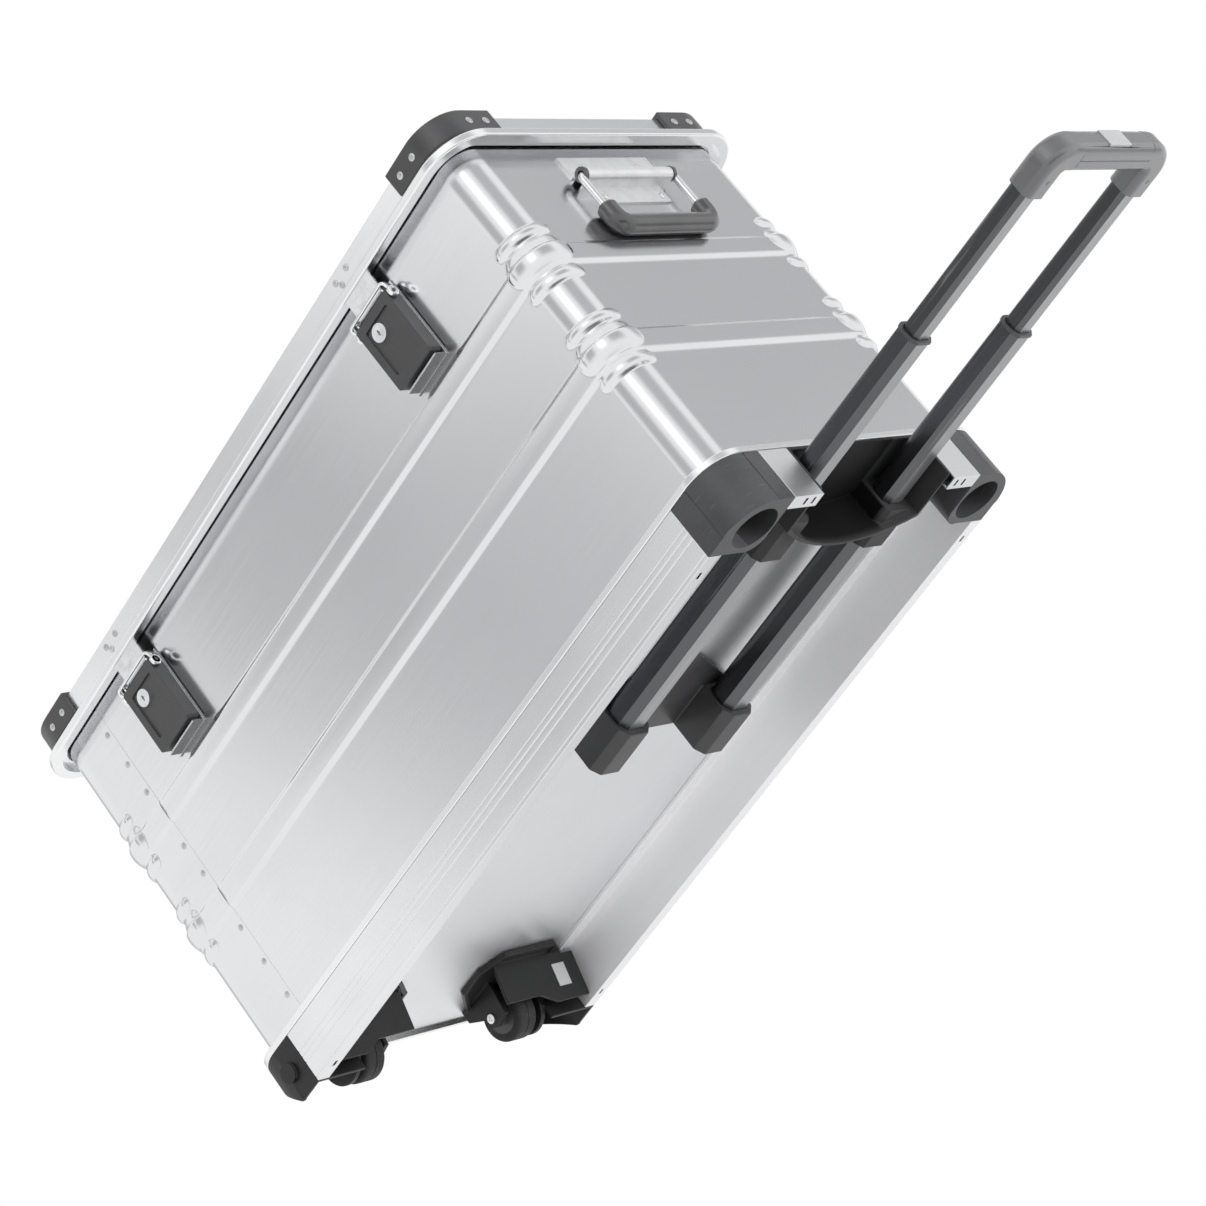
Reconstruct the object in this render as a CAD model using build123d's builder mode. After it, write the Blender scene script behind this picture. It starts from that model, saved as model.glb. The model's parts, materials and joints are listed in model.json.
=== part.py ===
from build123d import *
import os

os.makedirs("parts", exist_ok=True)

# Overall sizes of the case, in millimetres. X runs from the wheels to the pull handle,
# the latches face -Y and the lid is on top. The origin is under the middle of the whole
# object with the pull handle drawn out, so the case itself sits behind it.
case_length = 854.0
case_width = 400.0
case_middle_x = -184.0
half_length = case_length / 2
half_width = case_width / 2
wheel_end_x = case_middle_x - half_length
handle_end_x = case_middle_x + half_length

# Sheet walls, set in from the rails below them
wall_inset = 13.0
sheet = 1.5
wall_half_length = half_length - wall_inset
wall_half_width = half_width - wall_inset
wall_corner = 30.0
wall_top = 464.0
bead_depth = 2.5
bead_lower_slope = 7.0
bead_upper_slope = 3.0
lower_bead = (191.0, 222.0)
upper_bead = (303.0, 332.0)
seam_x = case_middle_x - 331.0
seam_gap = 0.2
lap_width = 14.0
lap_root = 8.0
seam_rivet_rows = (89.0, 131.0, 174.0, 244.0, 280.0, 351.0, 388.0, 427.0)
seam_rivet_radius = 3.5
seam_rivet_height = 0.8

# Floor, base band and rails
floor_under = 60.0
floor_thick = 2.0
floor_top = floor_under + floor_thick
band_low = 56.4
band_high = 63.8
band_lip = 4.8
rail_height = 56.0
rail_width = 15.0
rail_wall = 2.0
rail_flange = 30.0
rail_step = 5.0
rail_groove = 0.6
rail_groove_heights = (4.0, 22.0, 29.0, 35.0)
rail_start_x = case_middle_x - 356.0
rail_end_x = case_middle_x + 361.0
rail_slot = (8.0, 4.0)
rail_slot_inset = 24.0
base_corner = 43.0
end_rail_outer = 136.0
end_rail_inner = 96.5
end_slot_places = (105.0, 116.0)

# Corner feet at the handle end
foot_inner_round = 20.0
foot_socket_radius = 24.0
foot_socket_depth = 44.0
foot_socket_inset = (35.0, 37.0)

# Wheels and their housings
wheel_x = case_middle_x - 380.0
wheel_y = 110.0
wheel_z = 28.5
wheel_radius = 27.0
wheel_width = 26.0
tyre_round = 4.0
tyre_groove = 0.6
hub_radius = 18.0
hub_shoulder_radius = 8.0
hub_shoulder_length = 39.0
axle_radius = 4.0
running_gap = 0.05
axle_head_radius = 5.0
axle_head_height = 2.0
axle_slot = (6.0, 1.4)
housing_inner = 52.0
housing_outer = 167.5
housing_corner_inner = 135.0
housing_back_x = case_middle_x - wall_half_length
housing_flange_x = case_middle_x - 308.0
housing_chamfer = 23.0
housing_outer_chamfer = 17.0
housing_back_chamfer = (49.0, 43.0)
housing_flange_low = 54.0
housing_pocket_low = 57.0
housing_pocket_x = case_middle_x - 410.0
housing_lip = 5.0
housing_pocket_chamfer = (47.0, 41.0)
housing_wall = 4.0
front_wall_x = case_middle_x - 343.0
front_wall_lean = 16.8
front_wall_inner = 68.0
front_wall_outer = 184.8
front_wall_step = ((118.0, 17.5), (138.0, 6.5))
front_wall_step_round = 9.0
front_wall_high = 55.5
front_wall_top = 62.0
plate_thick = 6.0
inner_plate_y = 84.0
outer_plate_y = 130.0
arm_back = (29.0, 45.5)
arm_front = 24.0
arm_eye = 10.0
arm_root_low = (19.0, 20.5)
arm_root_high = (23.0, 47.0)
cheek_radius = 26.0
tilt_cut = 38.0
boss_radius = 10.0
boss_height = 4.0
insert_size = (18.0, 24.0)
insert_centre = (156.0, 33.5)
insert_thick = 1.0

# Telescopic pull handle. Each tube section is width, height, lower chamfer, upper round.
tube_y = 75.0
tube_z = 34.5
tube_wall = 1.5
slide_gap = 0.35
fixed_section = (35.0, 31.0, 8.0, 11.0)
middle_section = (28.0, 25.0, 6.0, 9.0)
inner_section = (22.0, 19.5, 4.0, 7.0)
fixed_tube_start = case_middle_x + 58.0
fixed_tube_end = case_middle_x + 371.0
middle_tube_start = case_middle_x + 284.0
middle_tube_end = case_middle_x + 581.0
inner_tube_start = case_middle_x + 453.0
inner_tube_end = case_middle_x + 764.0
collar_rim = 3.0
collar_proud = 1.0
collar_plug = 18.0

# Cup that the grip nests in: its back is an arc, with a collar for each tube through it
cup_back_x = case_middle_x + 346.0
cup_side_x = case_middle_x + 372.0
cup_half_width = 96.0
cup_wall = 3.0
cup_low = 6.0
cup_ceiling = 53.0
cup_collar_back_x = case_middle_x + 327.0
cup_collar_front_x = case_middle_x + 375.0
cup_collar_half_width = 21.0
cup_collar_low = 13.0
cup_collar_chamfer = 7.0
cup_mouth_cut = 10.0
cup_lip_gap = 0.7

# Bracket that holds the inner ends of the fixed tubes under the floor
bracket_start_x = case_middle_x + 46.0
bracket_mouth_x = case_middle_x + 101.0
bracket_apex_x = case_middle_x + 155.0
bracket_low = 12.0
bracket_half_width = 21.5
bracket_plate_low = 54.0
bracket_chamfer = 9.0

# Grip at the top of the pull handle
sleeve_start = case_middle_x + 747.0
grip_x = case_middle_x + 788.0
grip_depth = 28.0
grip_height = 27.0
grip_round = 9.0
grip_z = 33.2
grip_half_length = 52.0
elbow_width = 28.0
elbow_height = 26.5
elbow_round = 8.0
elbow_bend = 16.0
channel_radius = 6.0
channel_x = grip_x - 4.0
channel_bend = 12.0
cavity_low_x = grip_x - 8.5
cavity_high_x = grip_x + 9.5
cavity_half_height = 10.5
finger_radius = 14.0
finger_depth = 1.8
finger_step = 24.0
finger_count = 4
button_half_width = 16.0
button_half_height = 9.0
button_gap = 0.35
button_proud = 1.0
button_flange = 3.0
button_flange_side = 3.0
wire_radius = 2.0
wire_x = grip_x - 3.0
wire_bend = 10.0
wire_end_x = case_middle_x + 473.0

# Lid
lid_gap = 2.5
rim_low = 451.0
rim_shelf = 457.5
rim_high = 460.5
rim_grow = 22.0
rim_inner_grow = 11.0
rim_round = 2.5
web_low = 468.0
web_high = 472.0
web_inner_grow = -8.0
flange_grow = 7.0
lid_high = 490.0
panel_low = 488.0
panel_thick = 2.0
seal_gap = 0.3
mouth_low = 452.0
mouth_thick = 8.0
corner_low = 467.5
corner_high = 495.0
corner_thick = 5.0
corner_lip = 10.0
corner_leg = 80.0
rivet_radius = 4.0
rivet_height = 1.8
rivet_taper = 35.0
corner_rivet_places = (14.0, 36.0)
corner_rivet_z = 480.5

# Latches
latch_offset = 246.0
latch_plate_half_width = 27.0
latch_plate_z = (340.0, 436.0)
latch_plate_thick = 2.0
lever_half_width = 27.5
lever_z = (347.0, 424.0)
lever_front_y = -206.0
lever_back_y = -190.5
lever_skin = 2.5
lever_round = 4.0
pivot_y = -198.0
pivot_z = 429.0
pivot_radius = 2.5
pivot_eye = 5.0
ear_inner = 22.0
ear_thick = 2.0
cheek_low = 412.0
bail_pivot_y = -200.0
bail_pivot_z = 419.0
bail_pin_radius = 2.0
bail_pin_length = 5.0
bail_eye = 4.5
bail_eye_half = 2.0
bail_wire = 1.7
bail_side = 30.2
bail_root = 3.2
bail_rise = 13.2
bail_bend = 4.0
bail_lean = (0, -12.0, -5.5)
lock_x = -5.5
lock_z = 402.0
lock_radius = 9.0
lock_proud = 1.0
lock_length = 10.0
keyway = (1.6, 7.0)
panel_recess = 0.8
panel_recess_size = (38.0, 54.0)
panel_recess_z = 387.0
strike_half_width = 20.5
strike_back_y = -196.0
strike_thick = 2.0
strike_low = 428.0
strike_lip_y = -201.0
strike_rivets = ((-19.0, 481.0), (1.0, 481.0), (-14.0, 474.0))

# Hinges at the back
hinge_offset = 240.0
hinge_y = 202.5
hinge_z = 445.0
hinge_knuckle = 4.0
hinge_pin_radius = 2.0
hinge_half_width = 30.0
hinge_body_knuckle = 10.0
hinge_lid_knuckle = 9.6
hinge_leaf = 2.0
hinge_body_low = 405.0
hinge_arm = (441.0, 443.5)
hinge_lid_leaf_low = 449.2

# Carry handles
carry_plate_half_width = 70.0
carry_plate_z = (379.0, 437.0)
carry_plate_thick = 2.0
carry_axis_out = 11.0
carry_axis_z = 408.0
carry_wire = 4.0
carry_bend = 8.0
carry_half_width = 66.0
carry_wire_gap = 1.0
carry_grip_z = 341.0
carry_grip_radius = 9.5
carry_grip_bend = 14.0
carry_elbow_top = 364.0
clasp_half_width = 56.0
clasp_radius = 6.5
carry_rivet_places = (40.0, 20.0)

sides = (("front", -1), ("back", 1))
ends = (("handle_end", 1), ("wheel_end", -1))
latches = (("handle_side", 1), ("wheel_side", -1))


def case_outline(grow):
    """Length, width and corner radius of the wall outline grown outwards."""
    return 2 * (wall_half_length + grow), 2 * (wall_half_width + grow), wall_corner + grow


def across(x, y=0.0, z=0.0):
    """Plane across the length of the case: its axes are Y and Z and it faces +X."""
    return Plane(origin=(x, y, z), x_dir=(0, 1, 0), z_dir=(1, 0, 0))


def upright(y, x=0.0, z=0.0):
    """Plane along the length of the case: its axes are X and Z and it faces -Y."""
    return Plane(origin=(x, y, z), x_dir=(1, 0, 0), z_dir=(0, -1, 0))


def tube_plane(x, side):
    """Plane across one tube of the pull handle, at a place along it."""
    return across(x, side * tube_y, tube_z)


def tube_face(plane, section, grow=0.0):
    """Tube outline: flat underside, chamfered lower edges and round upper edges."""
    width, height, lower_chamfer, upper_round = section
    with BuildSketch(plane) as face:
        Rectangle(width + 2 * grow, height + 2 * grow)
        chamfer(face.vertices().group_by(Axis.Y)[0], length=lower_chamfer)
        fillet(face.vertices().group_by(Axis.Y)[-1], radius=upper_round + grow)
    return face.sketch


def collar_face(plane, half_width, low, lower_chamfer):
    """Outline of a moulded collar round one tube, from the floor down, with chamfered edges."""
    with BuildSketch(plane) as face:
        with Locations((0, (low + floor_under) / 2 - tube_z)):
            Rectangle(2 * half_width, floor_under - low)
        chamfer(face.vertices().group_by(Axis.Y)[0], length=lower_chamfer)
    return face.sketch


def cup_face(height, half_width, side_x, back_x, front_x):
    """Plan of the cup at one height: a curved back, straight sides and a straight front."""
    with BuildSketch(Plane.XY.offset(height)) as face:
        with BuildLine():
            ThreePointArc((side_x, -half_width), (back_x, 0), (side_x, half_width))
            Polyline((side_x, half_width), (front_x, half_width), (front_x, -half_width),
                     (side_x, -half_width))
        make_face()
    return face.sketch


def wall_face(x):
    """Section of the ribbed sheet across a long wall, drawn at the front."""
    outer = [(0, floor_top)]
    for low, high in (lower_bead, upper_bead):
        outer.append((0, low))
        outer.append((-bead_depth, low + bead_lower_slope))
        outer.append((-bead_depth, high - bead_upper_slope))
        outer.append((0, high))
    outer.append((0, wall_top))
    inner = [(inset + sheet, height) for inset, height in reversed(outer)]
    with BuildSketch(across(x, -wall_half_width)) as face:
        with BuildLine():
            Polyline(*outer, *inner, close=True)
        make_face()
    return face.sketch


def wall_path(start_x, end_x):
    """Plan line of a U-shaped sheet from a front edge round one end to a back edge."""
    with BuildLine() as path:
        FilletPolyline(
            (start_x, -wall_half_width),
            (end_x, -wall_half_width),
            (end_x, wall_half_width),
            (start_x, wall_half_width),
            radius=wall_corner,
        )
    return path.wire()


def rail_face(plane, outward, groove_heights):
    """Hollow rail section with a carrying flange; outward is the sign of its outer side."""
    with BuildSketch(plane) as face:
        with Locations((-outward * rail_width / 2, rail_height / 2)):
            Rectangle(rail_width, rail_height)
            Rectangle(rail_width - 2 * rail_wall, rail_height - 2 * rail_wall, mode=Mode.SUBTRACT)
        with Locations((-outward * (rail_step + rail_flange) / 2, (rail_height + floor_under) / 2)):
            Rectangle(rail_flange - rail_step, floor_under - rail_height)
        for height in groove_heights:
            with Locations((0, height)):
                Rectangle(2 * rail_groove, 2 * rail_groove, rotation=45, mode=Mode.SUBTRACT)
    return face.sketch


# Body wrap: front, handle end and back in one sheet, with lap strips behind the seams
with BuildPart() as body_wrap:
    sweep(wall_face(seam_x), path=wall_path(seam_x, case_middle_x + wall_half_length))
    for side in (-1, 1):
        strip_x = seam_x + (lap_root - lap_width) / 2
        strip_y = side * (wall_half_width - sheet - sheet / 2)
        with Locations((strip_x, strip_y, (floor_top + mouth_low) / 2)):
            Box(lap_root + lap_width, sheet, mouth_low - floor_top)
body_wrap.part.label = "body_wrap"
export_step(body_wrap.part, "parts/body_wrap.step")

# Wheel-end sheet that meets the wrap along two seams
with BuildPart() as wheel_end_sheet:
    sweep(wall_face(seam_x - seam_gap),
          path=wall_path(seam_x - seam_gap, case_middle_x - wall_half_length))
wheel_end_sheet.part.label = "wheel_end_sheet"
export_step(wheel_end_sheet.part, "parts/wheel_end_sheet.step")

# Rows of flat rivets beside the seams, between the beads
with BuildPart() as seam_rivets:
    for side in (-1, 1):
        for row_z in seam_rivet_rows:
            outside = Plane(origin=(seam_x - lap_width / 2, side * wall_half_width, row_z),
                            z_dir=(0, side, 0))
            with BuildSketch(outside):
                Circle(seam_rivet_radius)
            extrude(amount=seam_rivet_height, taper=rivet_taper)
seam_rivets.part.label = "seam_rivets"
export_step(seam_rivets.part, "parts/seam_rivets.step")

# Floor panel under the walls
with BuildPart() as floor_panel:
    with BuildSketch(Plane.XY.offset(floor_under)):
        with Locations((case_middle_x, 0)):
            RectangleRounded(*case_outline(0))
    extrude(amount=floor_thick)
floor_panel.part.label = "floor_panel"
export_step(floor_panel.part, "parts/floor_panel.step")

# Angle band round the foot of the walls: it covers the step out to the rails and hangs over it
with BuildPart() as base_band:
    with BuildSketch(Plane.XY.offset(floor_under)):
        with Locations((case_middle_x, 0)):
            RectangleRounded(*case_outline(wall_inset))
            RectangleRounded(*case_outline(0), mode=Mode.SUBTRACT)
    extrude(amount=band_high - floor_under)
    with BuildSketch(Plane.XY.offset(band_low)):
        with Locations((case_middle_x, 0)):
            RectangleRounded(*case_outline(wall_inset))
            RectangleRounded(*case_outline(wall_inset - band_lip), mode=Mode.SUBTRACT)
    extrude(amount=floor_under - band_low)
base_band.part.label = "base_band"
export_step(base_band.part, "parts/base_band.step")

# Frame inside the mouth of the body
with BuildPart() as mouth_frame:
    with BuildSketch(Plane.XY.offset(mouth_low)):
        with Locations((case_middle_x, 0)):
            RectangleRounded(*case_outline(-sheet))
            RectangleRounded(*case_outline(-sheet - mouth_thick), mode=Mode.SUBTRACT)
    extrude(amount=wall_top - mouth_low)
mouth_frame.part.label = "mouth_frame"
export_step(mouth_frame.part, "parts/mouth_frame.step")

# Long hollow rails under the front and back walls
for side_name, side in sides:
    with BuildPart() as long_rail:
        extrude(rail_face(across(rail_start_x, side * half_width), side, rail_groove_heights),
                amount=rail_end_x - rail_start_x)
        for slot_x in (rail_start_x + rail_slot_inset, rail_end_x - rail_slot_inset):
            with Locations((slot_x, side * (half_width - rail_width / 2), rail_wall / 2)):
                Box(*rail_slot, rail_wall, mode=Mode.SUBTRACT)
    long_rail.part.label = f"{side_name}_rail"
    export_step(long_rail.part, f"parts/{side_name}_rail.step")

# Short rails either side of the handle cup
with BuildPart() as handle_end_rails:
    for side in (-1, 1):
        rail_middle = upright(side * (end_rail_inner + end_rail_outer) / 2, handle_end_x)
        extrude(rail_face(rail_middle, 1, ()), amount=(end_rail_outer - end_rail_inner) / 2, both=True)
        for slot_y in end_slot_places:
            with Locations((handle_end_x - rail_width / 2, side * slot_y, rail_wall / 2)):
                Box(*rail_slot, rail_wall, mode=Mode.SUBTRACT)
handle_end_rails.part.label = "handle_end_rails"
export_step(handle_end_rails.part, "parts/handle_end_rails.step")

# Corner feet with a round socket in the underside
for side_name, side in sides:
    with BuildPart() as corner_foot:
        with BuildSketch() as foot_plan:
            with Locations(((rail_end_x + handle_end_x) / 2, side * (half_width + end_rail_outer) / 2)):
                Rectangle(handle_end_x - rail_end_x, half_width - end_rail_outer)
            outer_vertex = foot_plan.vertices().sort_by_distance((handle_end_x, side * half_width))[0]
            fillet(outer_vertex, radius=base_corner)
            inner_vertex = foot_plan.vertices().sort_by_distance((rail_end_x, side * end_rail_outer))[0]
            fillet(inner_vertex, radius=foot_inner_round)
        extrude(amount=rail_height)
        with BuildSketch():
            socket_inset_x, socket_inset_y = foot_socket_inset
            with Locations((handle_end_x - socket_inset_x, side * (half_width - socket_inset_y))):
                Circle(foot_socket_radius)
        extrude(amount=foot_socket_depth, mode=Mode.SUBTRACT)
    corner_foot.part.label = f"corner_foot_{side_name}"
    export_step(corner_foot.part, f"parts/corner_foot_{side_name}.step")

# Middle plane of the housings' front walls, which lean towards the wheels at the foot
leaning_plane = Plane(origin=(front_wall_x, 0, 0), x_dir=(0, 1, 0),
                      z_dir=Vector(1, 0, 0).rotate(Axis.Y, front_wall_lean))

# Wheel housings: mounting flange, corner block, an arm and a cheek for the wheel, a leaning front wall
for side_name, side in sides:
    with BuildPart() as wheel_housing:
        with BuildSketch(Plane.XY.offset(housing_flange_low)):
            with BuildLine():
                Polyline(
                    (housing_back_x, side * (housing_inner + housing_back_chamfer[1])),
                    (housing_back_x + housing_back_chamfer[0], side * housing_inner),
                    (housing_flange_x - housing_chamfer, side * housing_inner),
                    (housing_flange_x, side * (housing_inner + housing_chamfer)),
                    (housing_flange_x, side * (housing_outer - housing_outer_chamfer)),
                    (housing_flange_x - housing_outer_chamfer, side * housing_outer),
                    (housing_back_x, side * housing_outer),
                    close=True,
                )
            make_face()
        extrude(amount=floor_under - housing_flange_low)
        with BuildSketch(Plane.XY.offset(housing_flange_low)):
            with BuildLine():
                Polyline(
                    (housing_pocket_x, side * (housing_inner + housing_lip + housing_pocket_chamfer[1])),
                    (housing_pocket_x + housing_pocket_chamfer[0], side * (housing_inner + housing_lip)),
                    (housing_flange_x - housing_chamfer - housing_lip / 2,
                     side * (housing_inner + housing_lip)),
                    (housing_flange_x - housing_lip,
                     side * (housing_inner + housing_chamfer + housing_lip / 2)),
                    (housing_flange_x - housing_lip, side * (housing_outer - housing_outer_chamfer)),
                    (housing_pocket_x, side * (housing_outer - housing_outer_chamfer)),
                    close=True,
                )
            make_face()
        extrude(amount=housing_pocket_low - housing_flange_low, mode=Mode.SUBTRACT)
        with BuildSketch() as block_plan:
            with Locations(((wheel_end_x + rail_start_x) / 2,
                            side * (half_width + housing_corner_inner) / 2)):
                Rectangle(rail_start_x - wheel_end_x, half_width - housing_corner_inner)
            outer_vertex = block_plan.vertices().sort_by_distance((wheel_end_x, side * half_width))[0]
            fillet(outer_vertex, radius=base_corner)
        extrude(amount=rail_height)
        with BuildSketch():
            offset(block_plan.sketch, amount=-housing_wall)
        extrude(amount=rail_height - housing_wall, mode=Mode.SUBTRACT)
        with BuildSketch():
            with Locations(((wheel_end_x + rail_start_x - housing_wall) / 2,
                            side * (housing_corner_inner + housing_wall / 2))):
                Rectangle(rail_start_x - wheel_end_x - housing_wall, housing_wall)
        extrude(amount=housing_flange_low, mode=Mode.SUBTRACT)
        with BuildSketch(upright(side * (inner_plate_y + plate_thick / 2), wheel_x)):
            with BuildLine():
                Polyline(
                    (-arm_back[0], floor_under),
                    (-arm_back[0], arm_back[1]),
                    (-arm_eye, wheel_z + arm_eye / 2),
                    (0, wheel_z - arm_eye),
                    arm_root_low,
                    arm_root_high,
                    (arm_front, floor_under),
                    close=True,
                )
            make_face()
            with Locations((0, wheel_z)):
                Circle(arm_eye)
        extrude(amount=plate_thick / 2, both=True)
        with BuildSketch(upright(side * (outer_plate_y + plate_thick / 2), wheel_x)):
            with Locations((0, wheel_z)):
                Circle(cheek_radius)
            with Locations((0, (wheel_z + floor_under) / 2)):
                Rectangle(2 * cheek_radius, floor_under - wheel_z)
        extrude(amount=plate_thick / 2, both=True)
        with BuildSketch(leaning_plane) as front_wall:
            (step_in, step_top), (step_out, step_low) = front_wall_step
            with BuildLine():
                Polyline(
                    (side * front_wall_inner, front_wall_top),
                    (side * front_wall_inner, step_top),
                    (side * step_in, step_top),
                    (side * step_out, step_low),
                    (side * front_wall_outer, step_low),
                    (side * front_wall_outer, front_wall_high),
                    (side * housing_outer, front_wall_high),
                    (side * housing_outer, front_wall_top),
                    close=True,
                )
            make_face()
            step_vertex = front_wall.vertices().sort_by_distance((side * step_in, step_top))[0]
            fillet(step_vertex, radius=front_wall_step_round)
        extrude(amount=housing_wall / 2, both=True)
        with BuildSketch(upright(side * half_width, wheel_x, wheel_z)):
            Circle(boss_radius)
        extrude(amount=boss_height, both=True)
        with BuildSketch(upright(side * half_width / 2, wheel_x, wheel_z)):
            Circle(axle_radius)
        extrude(amount=half_width / 2 - boss_height, both=True, mode=Mode.SUBTRACT)
        split(bisect_by=Plane(origin=(wheel_end_x + tilt_cut, 0, 0), z_dir=(1, 0, 1)), keep=Keep.TOP)
        split(bisect_by=Plane.XY.offset(floor_under), keep=Keep.BOTTOM)
    wheel_housing.part.label = f"wheel_housing_{side_name}"
    export_step(wheel_housing.part, f"parts/wheel_housing_{side_name}.step")

# Light inserts on the front wall of each housing
with BuildPart() as housing_inserts:
    for side in (-1, 1):
        insert_y, insert_z = insert_centre
        with BuildSketch(leaning_plane.offset(housing_wall / 2)):
            with Locations((side * insert_y, insert_z)):
                Rectangle(*insert_size)
        extrude(amount=insert_thick)
housing_inserts.part.label = "housing_inserts"
export_step(housing_inserts.part, "parts/housing_inserts.step")

# Axle bolts with cross-slotted heads on the inner plates
with BuildPart() as wheel_axles:
    for side in (-1, 1):
        head_plane = Plane(origin=(wheel_x, side * inner_plate_y, wheel_z), z_dir=(0, -side, 0))
        with BuildSketch(head_plane):
            Circle(axle_head_radius)
        extrude(amount=axle_head_height)
        with BuildSketch(head_plane.offset(axle_head_height)):
            Rectangle(*axle_slot)
            Rectangle(*reversed(axle_slot))
        extrude(amount=-axle_head_height / 2, mode=Mode.SUBTRACT)
        with BuildSketch(head_plane):
            Circle(axle_radius)
        extrude(amount=inner_plate_y + boss_height - half_width)
wheel_axles.part.label = "wheel_axles"
export_step(wheel_axles.part, "parts/wheel_axles.step")

# Wheels: a hub with shoulders, and a rounded tyre with a centre groove
for side_name, side in sides:
    wheel_plane = upright(side * wheel_y, wheel_x, wheel_z)
    with BuildPart() as wheel_hub:
        with BuildSketch(wheel_plane):
            Circle(hub_radius)
        extrude(amount=wheel_width / 2, both=True)
        with BuildSketch(wheel_plane):
            Circle(hub_shoulder_radius)
        extrude(amount=hub_shoulder_length / 2, both=True)
        with BuildSketch(wheel_plane):
            Circle(axle_radius + running_gap)
        extrude(amount=hub_shoulder_length / 2, both=True, mode=Mode.SUBTRACT)
    wheel_hub.part.label = f"wheel_hub_{side_name}"
    export_step(wheel_hub.part, f"parts/wheel_hub_{side_name}.step")

    with BuildPart() as wheel_tyre:
        with BuildSketch(wheel_plane):
            Circle(wheel_radius)
        extrude(amount=wheel_width / 2, both=True)
        fillet(wheel_tyre.edges(), radius=tyre_round)
        with BuildSketch(wheel_plane):
            Circle(wheel_radius + tyre_groove)
            Circle(wheel_radius - tyre_groove, mode=Mode.SUBTRACT)
        extrude(amount=tyre_groove, both=True, mode=Mode.SUBTRACT)
        with BuildSketch(wheel_plane):
            Circle(hub_radius)
        extrude(amount=wheel_width / 2, both=True, mode=Mode.SUBTRACT)
    wheel_tyre.part.label = f"wheel_tyre_{side_name}"
    export_step(wheel_tyre.part, f"parts/wheel_tyre_{side_name}.step")

# Cup at the handle end, open downwards and outwards, with a collar for each tube
with BuildPart() as handle_cup:
    extrude(cup_face(cup_low, cup_half_width, cup_side_x, cup_back_x, handle_end_x),
            amount=floor_under - cup_low)
    extrude(cup_face(cup_low, cup_half_width - cup_wall, cup_side_x + cup_wall, cup_back_x + cup_wall,
                     handle_end_x + cup_wall),
            amount=cup_ceiling - cup_low, mode=Mode.SUBTRACT)
    with Locations((handle_end_x, 0, floor_under)):
        Box(2 * (band_lip + cup_lip_gap), 2 * cup_half_width, 2 * (floor_under - rail_height),
            mode=Mode.SUBTRACT)
    for side in (-1, 1):
        extrude(collar_face(tube_plane(cup_collar_back_x, side), cup_collar_half_width, cup_collar_low,
                            cup_collar_chamfer),
                amount=cup_collar_front_x - cup_collar_back_x)
        extrude(tube_face(tube_plane(fixed_tube_end, side), fixed_section),
                amount=cup_collar_back_x - fixed_tube_end, mode=Mode.SUBTRACT)
        extrude(tube_face(tube_plane(fixed_tube_end, side), middle_section, slide_gap),
                amount=cup_collar_front_x + cup_mouth_cut - fixed_tube_end, mode=Mode.SUBTRACT)
handle_cup.part.label = "handle_cup"
export_step(handle_cup.part, "parts/handle_cup.step")

# Bracket under the floor with a socket for the inner end of each fixed tube
with BuildPart() as tube_bracket:
    with BuildSketch(Plane.XY.offset(bracket_plate_low)):
        with BuildLine():
            Polyline(
                (bracket_start_x, -tube_y - bracket_half_width),
                (bracket_mouth_x, -tube_y - bracket_half_width),
                (bracket_apex_x, 0),
                (bracket_mouth_x, tube_y + bracket_half_width),
                (bracket_start_x, tube_y + bracket_half_width),
                close=True,
            )
        make_face()
    extrude(amount=floor_under - bracket_plate_low)
    for side in (-1, 1):
        extrude(collar_face(tube_plane(bracket_start_x, side), bracket_half_width, bracket_low,
                            bracket_chamfer),
                amount=bracket_mouth_x - bracket_start_x)
        extrude(tube_face(tube_plane(fixed_tube_start, side), fixed_section),
                amount=bracket_mouth_x - fixed_tube_start, mode=Mode.SUBTRACT)
tube_bracket.part.label = "tube_bracket"
export_step(tube_bracket.part, "parts/tube_bracket.step")

# Tubes of the pull handle in three stages, on both sides
tube_stages = (
    ("fixed", fixed_tube_start, fixed_tube_end, fixed_section),
    ("middle", middle_tube_start, middle_tube_end, middle_section),
    ("inner", inner_tube_start, inner_tube_end, inner_section),
)
for side_name, side in sides:
    for stage, tube_start, tube_end, section in tube_stages:
        start_plane = tube_plane(tube_start, side)
        with BuildPart() as tube:
            extrude(tube_face(start_plane, section), amount=tube_end - tube_start)
            extrude(tube_face(start_plane, section, -tube_wall), amount=tube_end - tube_start,
                    mode=Mode.SUBTRACT)
        tube.part.label = f"{stage}_tube_{side_name}"
        export_step(tube.part, f"parts/{stage}_tube_{side_name}.step")

# Collars plugged into the ends of the middle tubes
with BuildPart() as middle_collars:
    for side in (-1, 1):
        collar_plane = tube_plane(middle_tube_end, side)
        extrude(tube_face(collar_plane, middle_section, collar_proud), amount=collar_rim)
        extrude(tube_face(collar_plane, middle_section, -tube_wall), amount=-collar_plug)
        extrude(tube_face(collar_plane.offset(-collar_plug), inner_section, slide_gap),
                amount=collar_plug + collar_rim, mode=Mode.SUBTRACT)
middle_collars.part.label = "middle_collars"
export_step(middle_collars.part, "parts/middle_collars.step")

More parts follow.
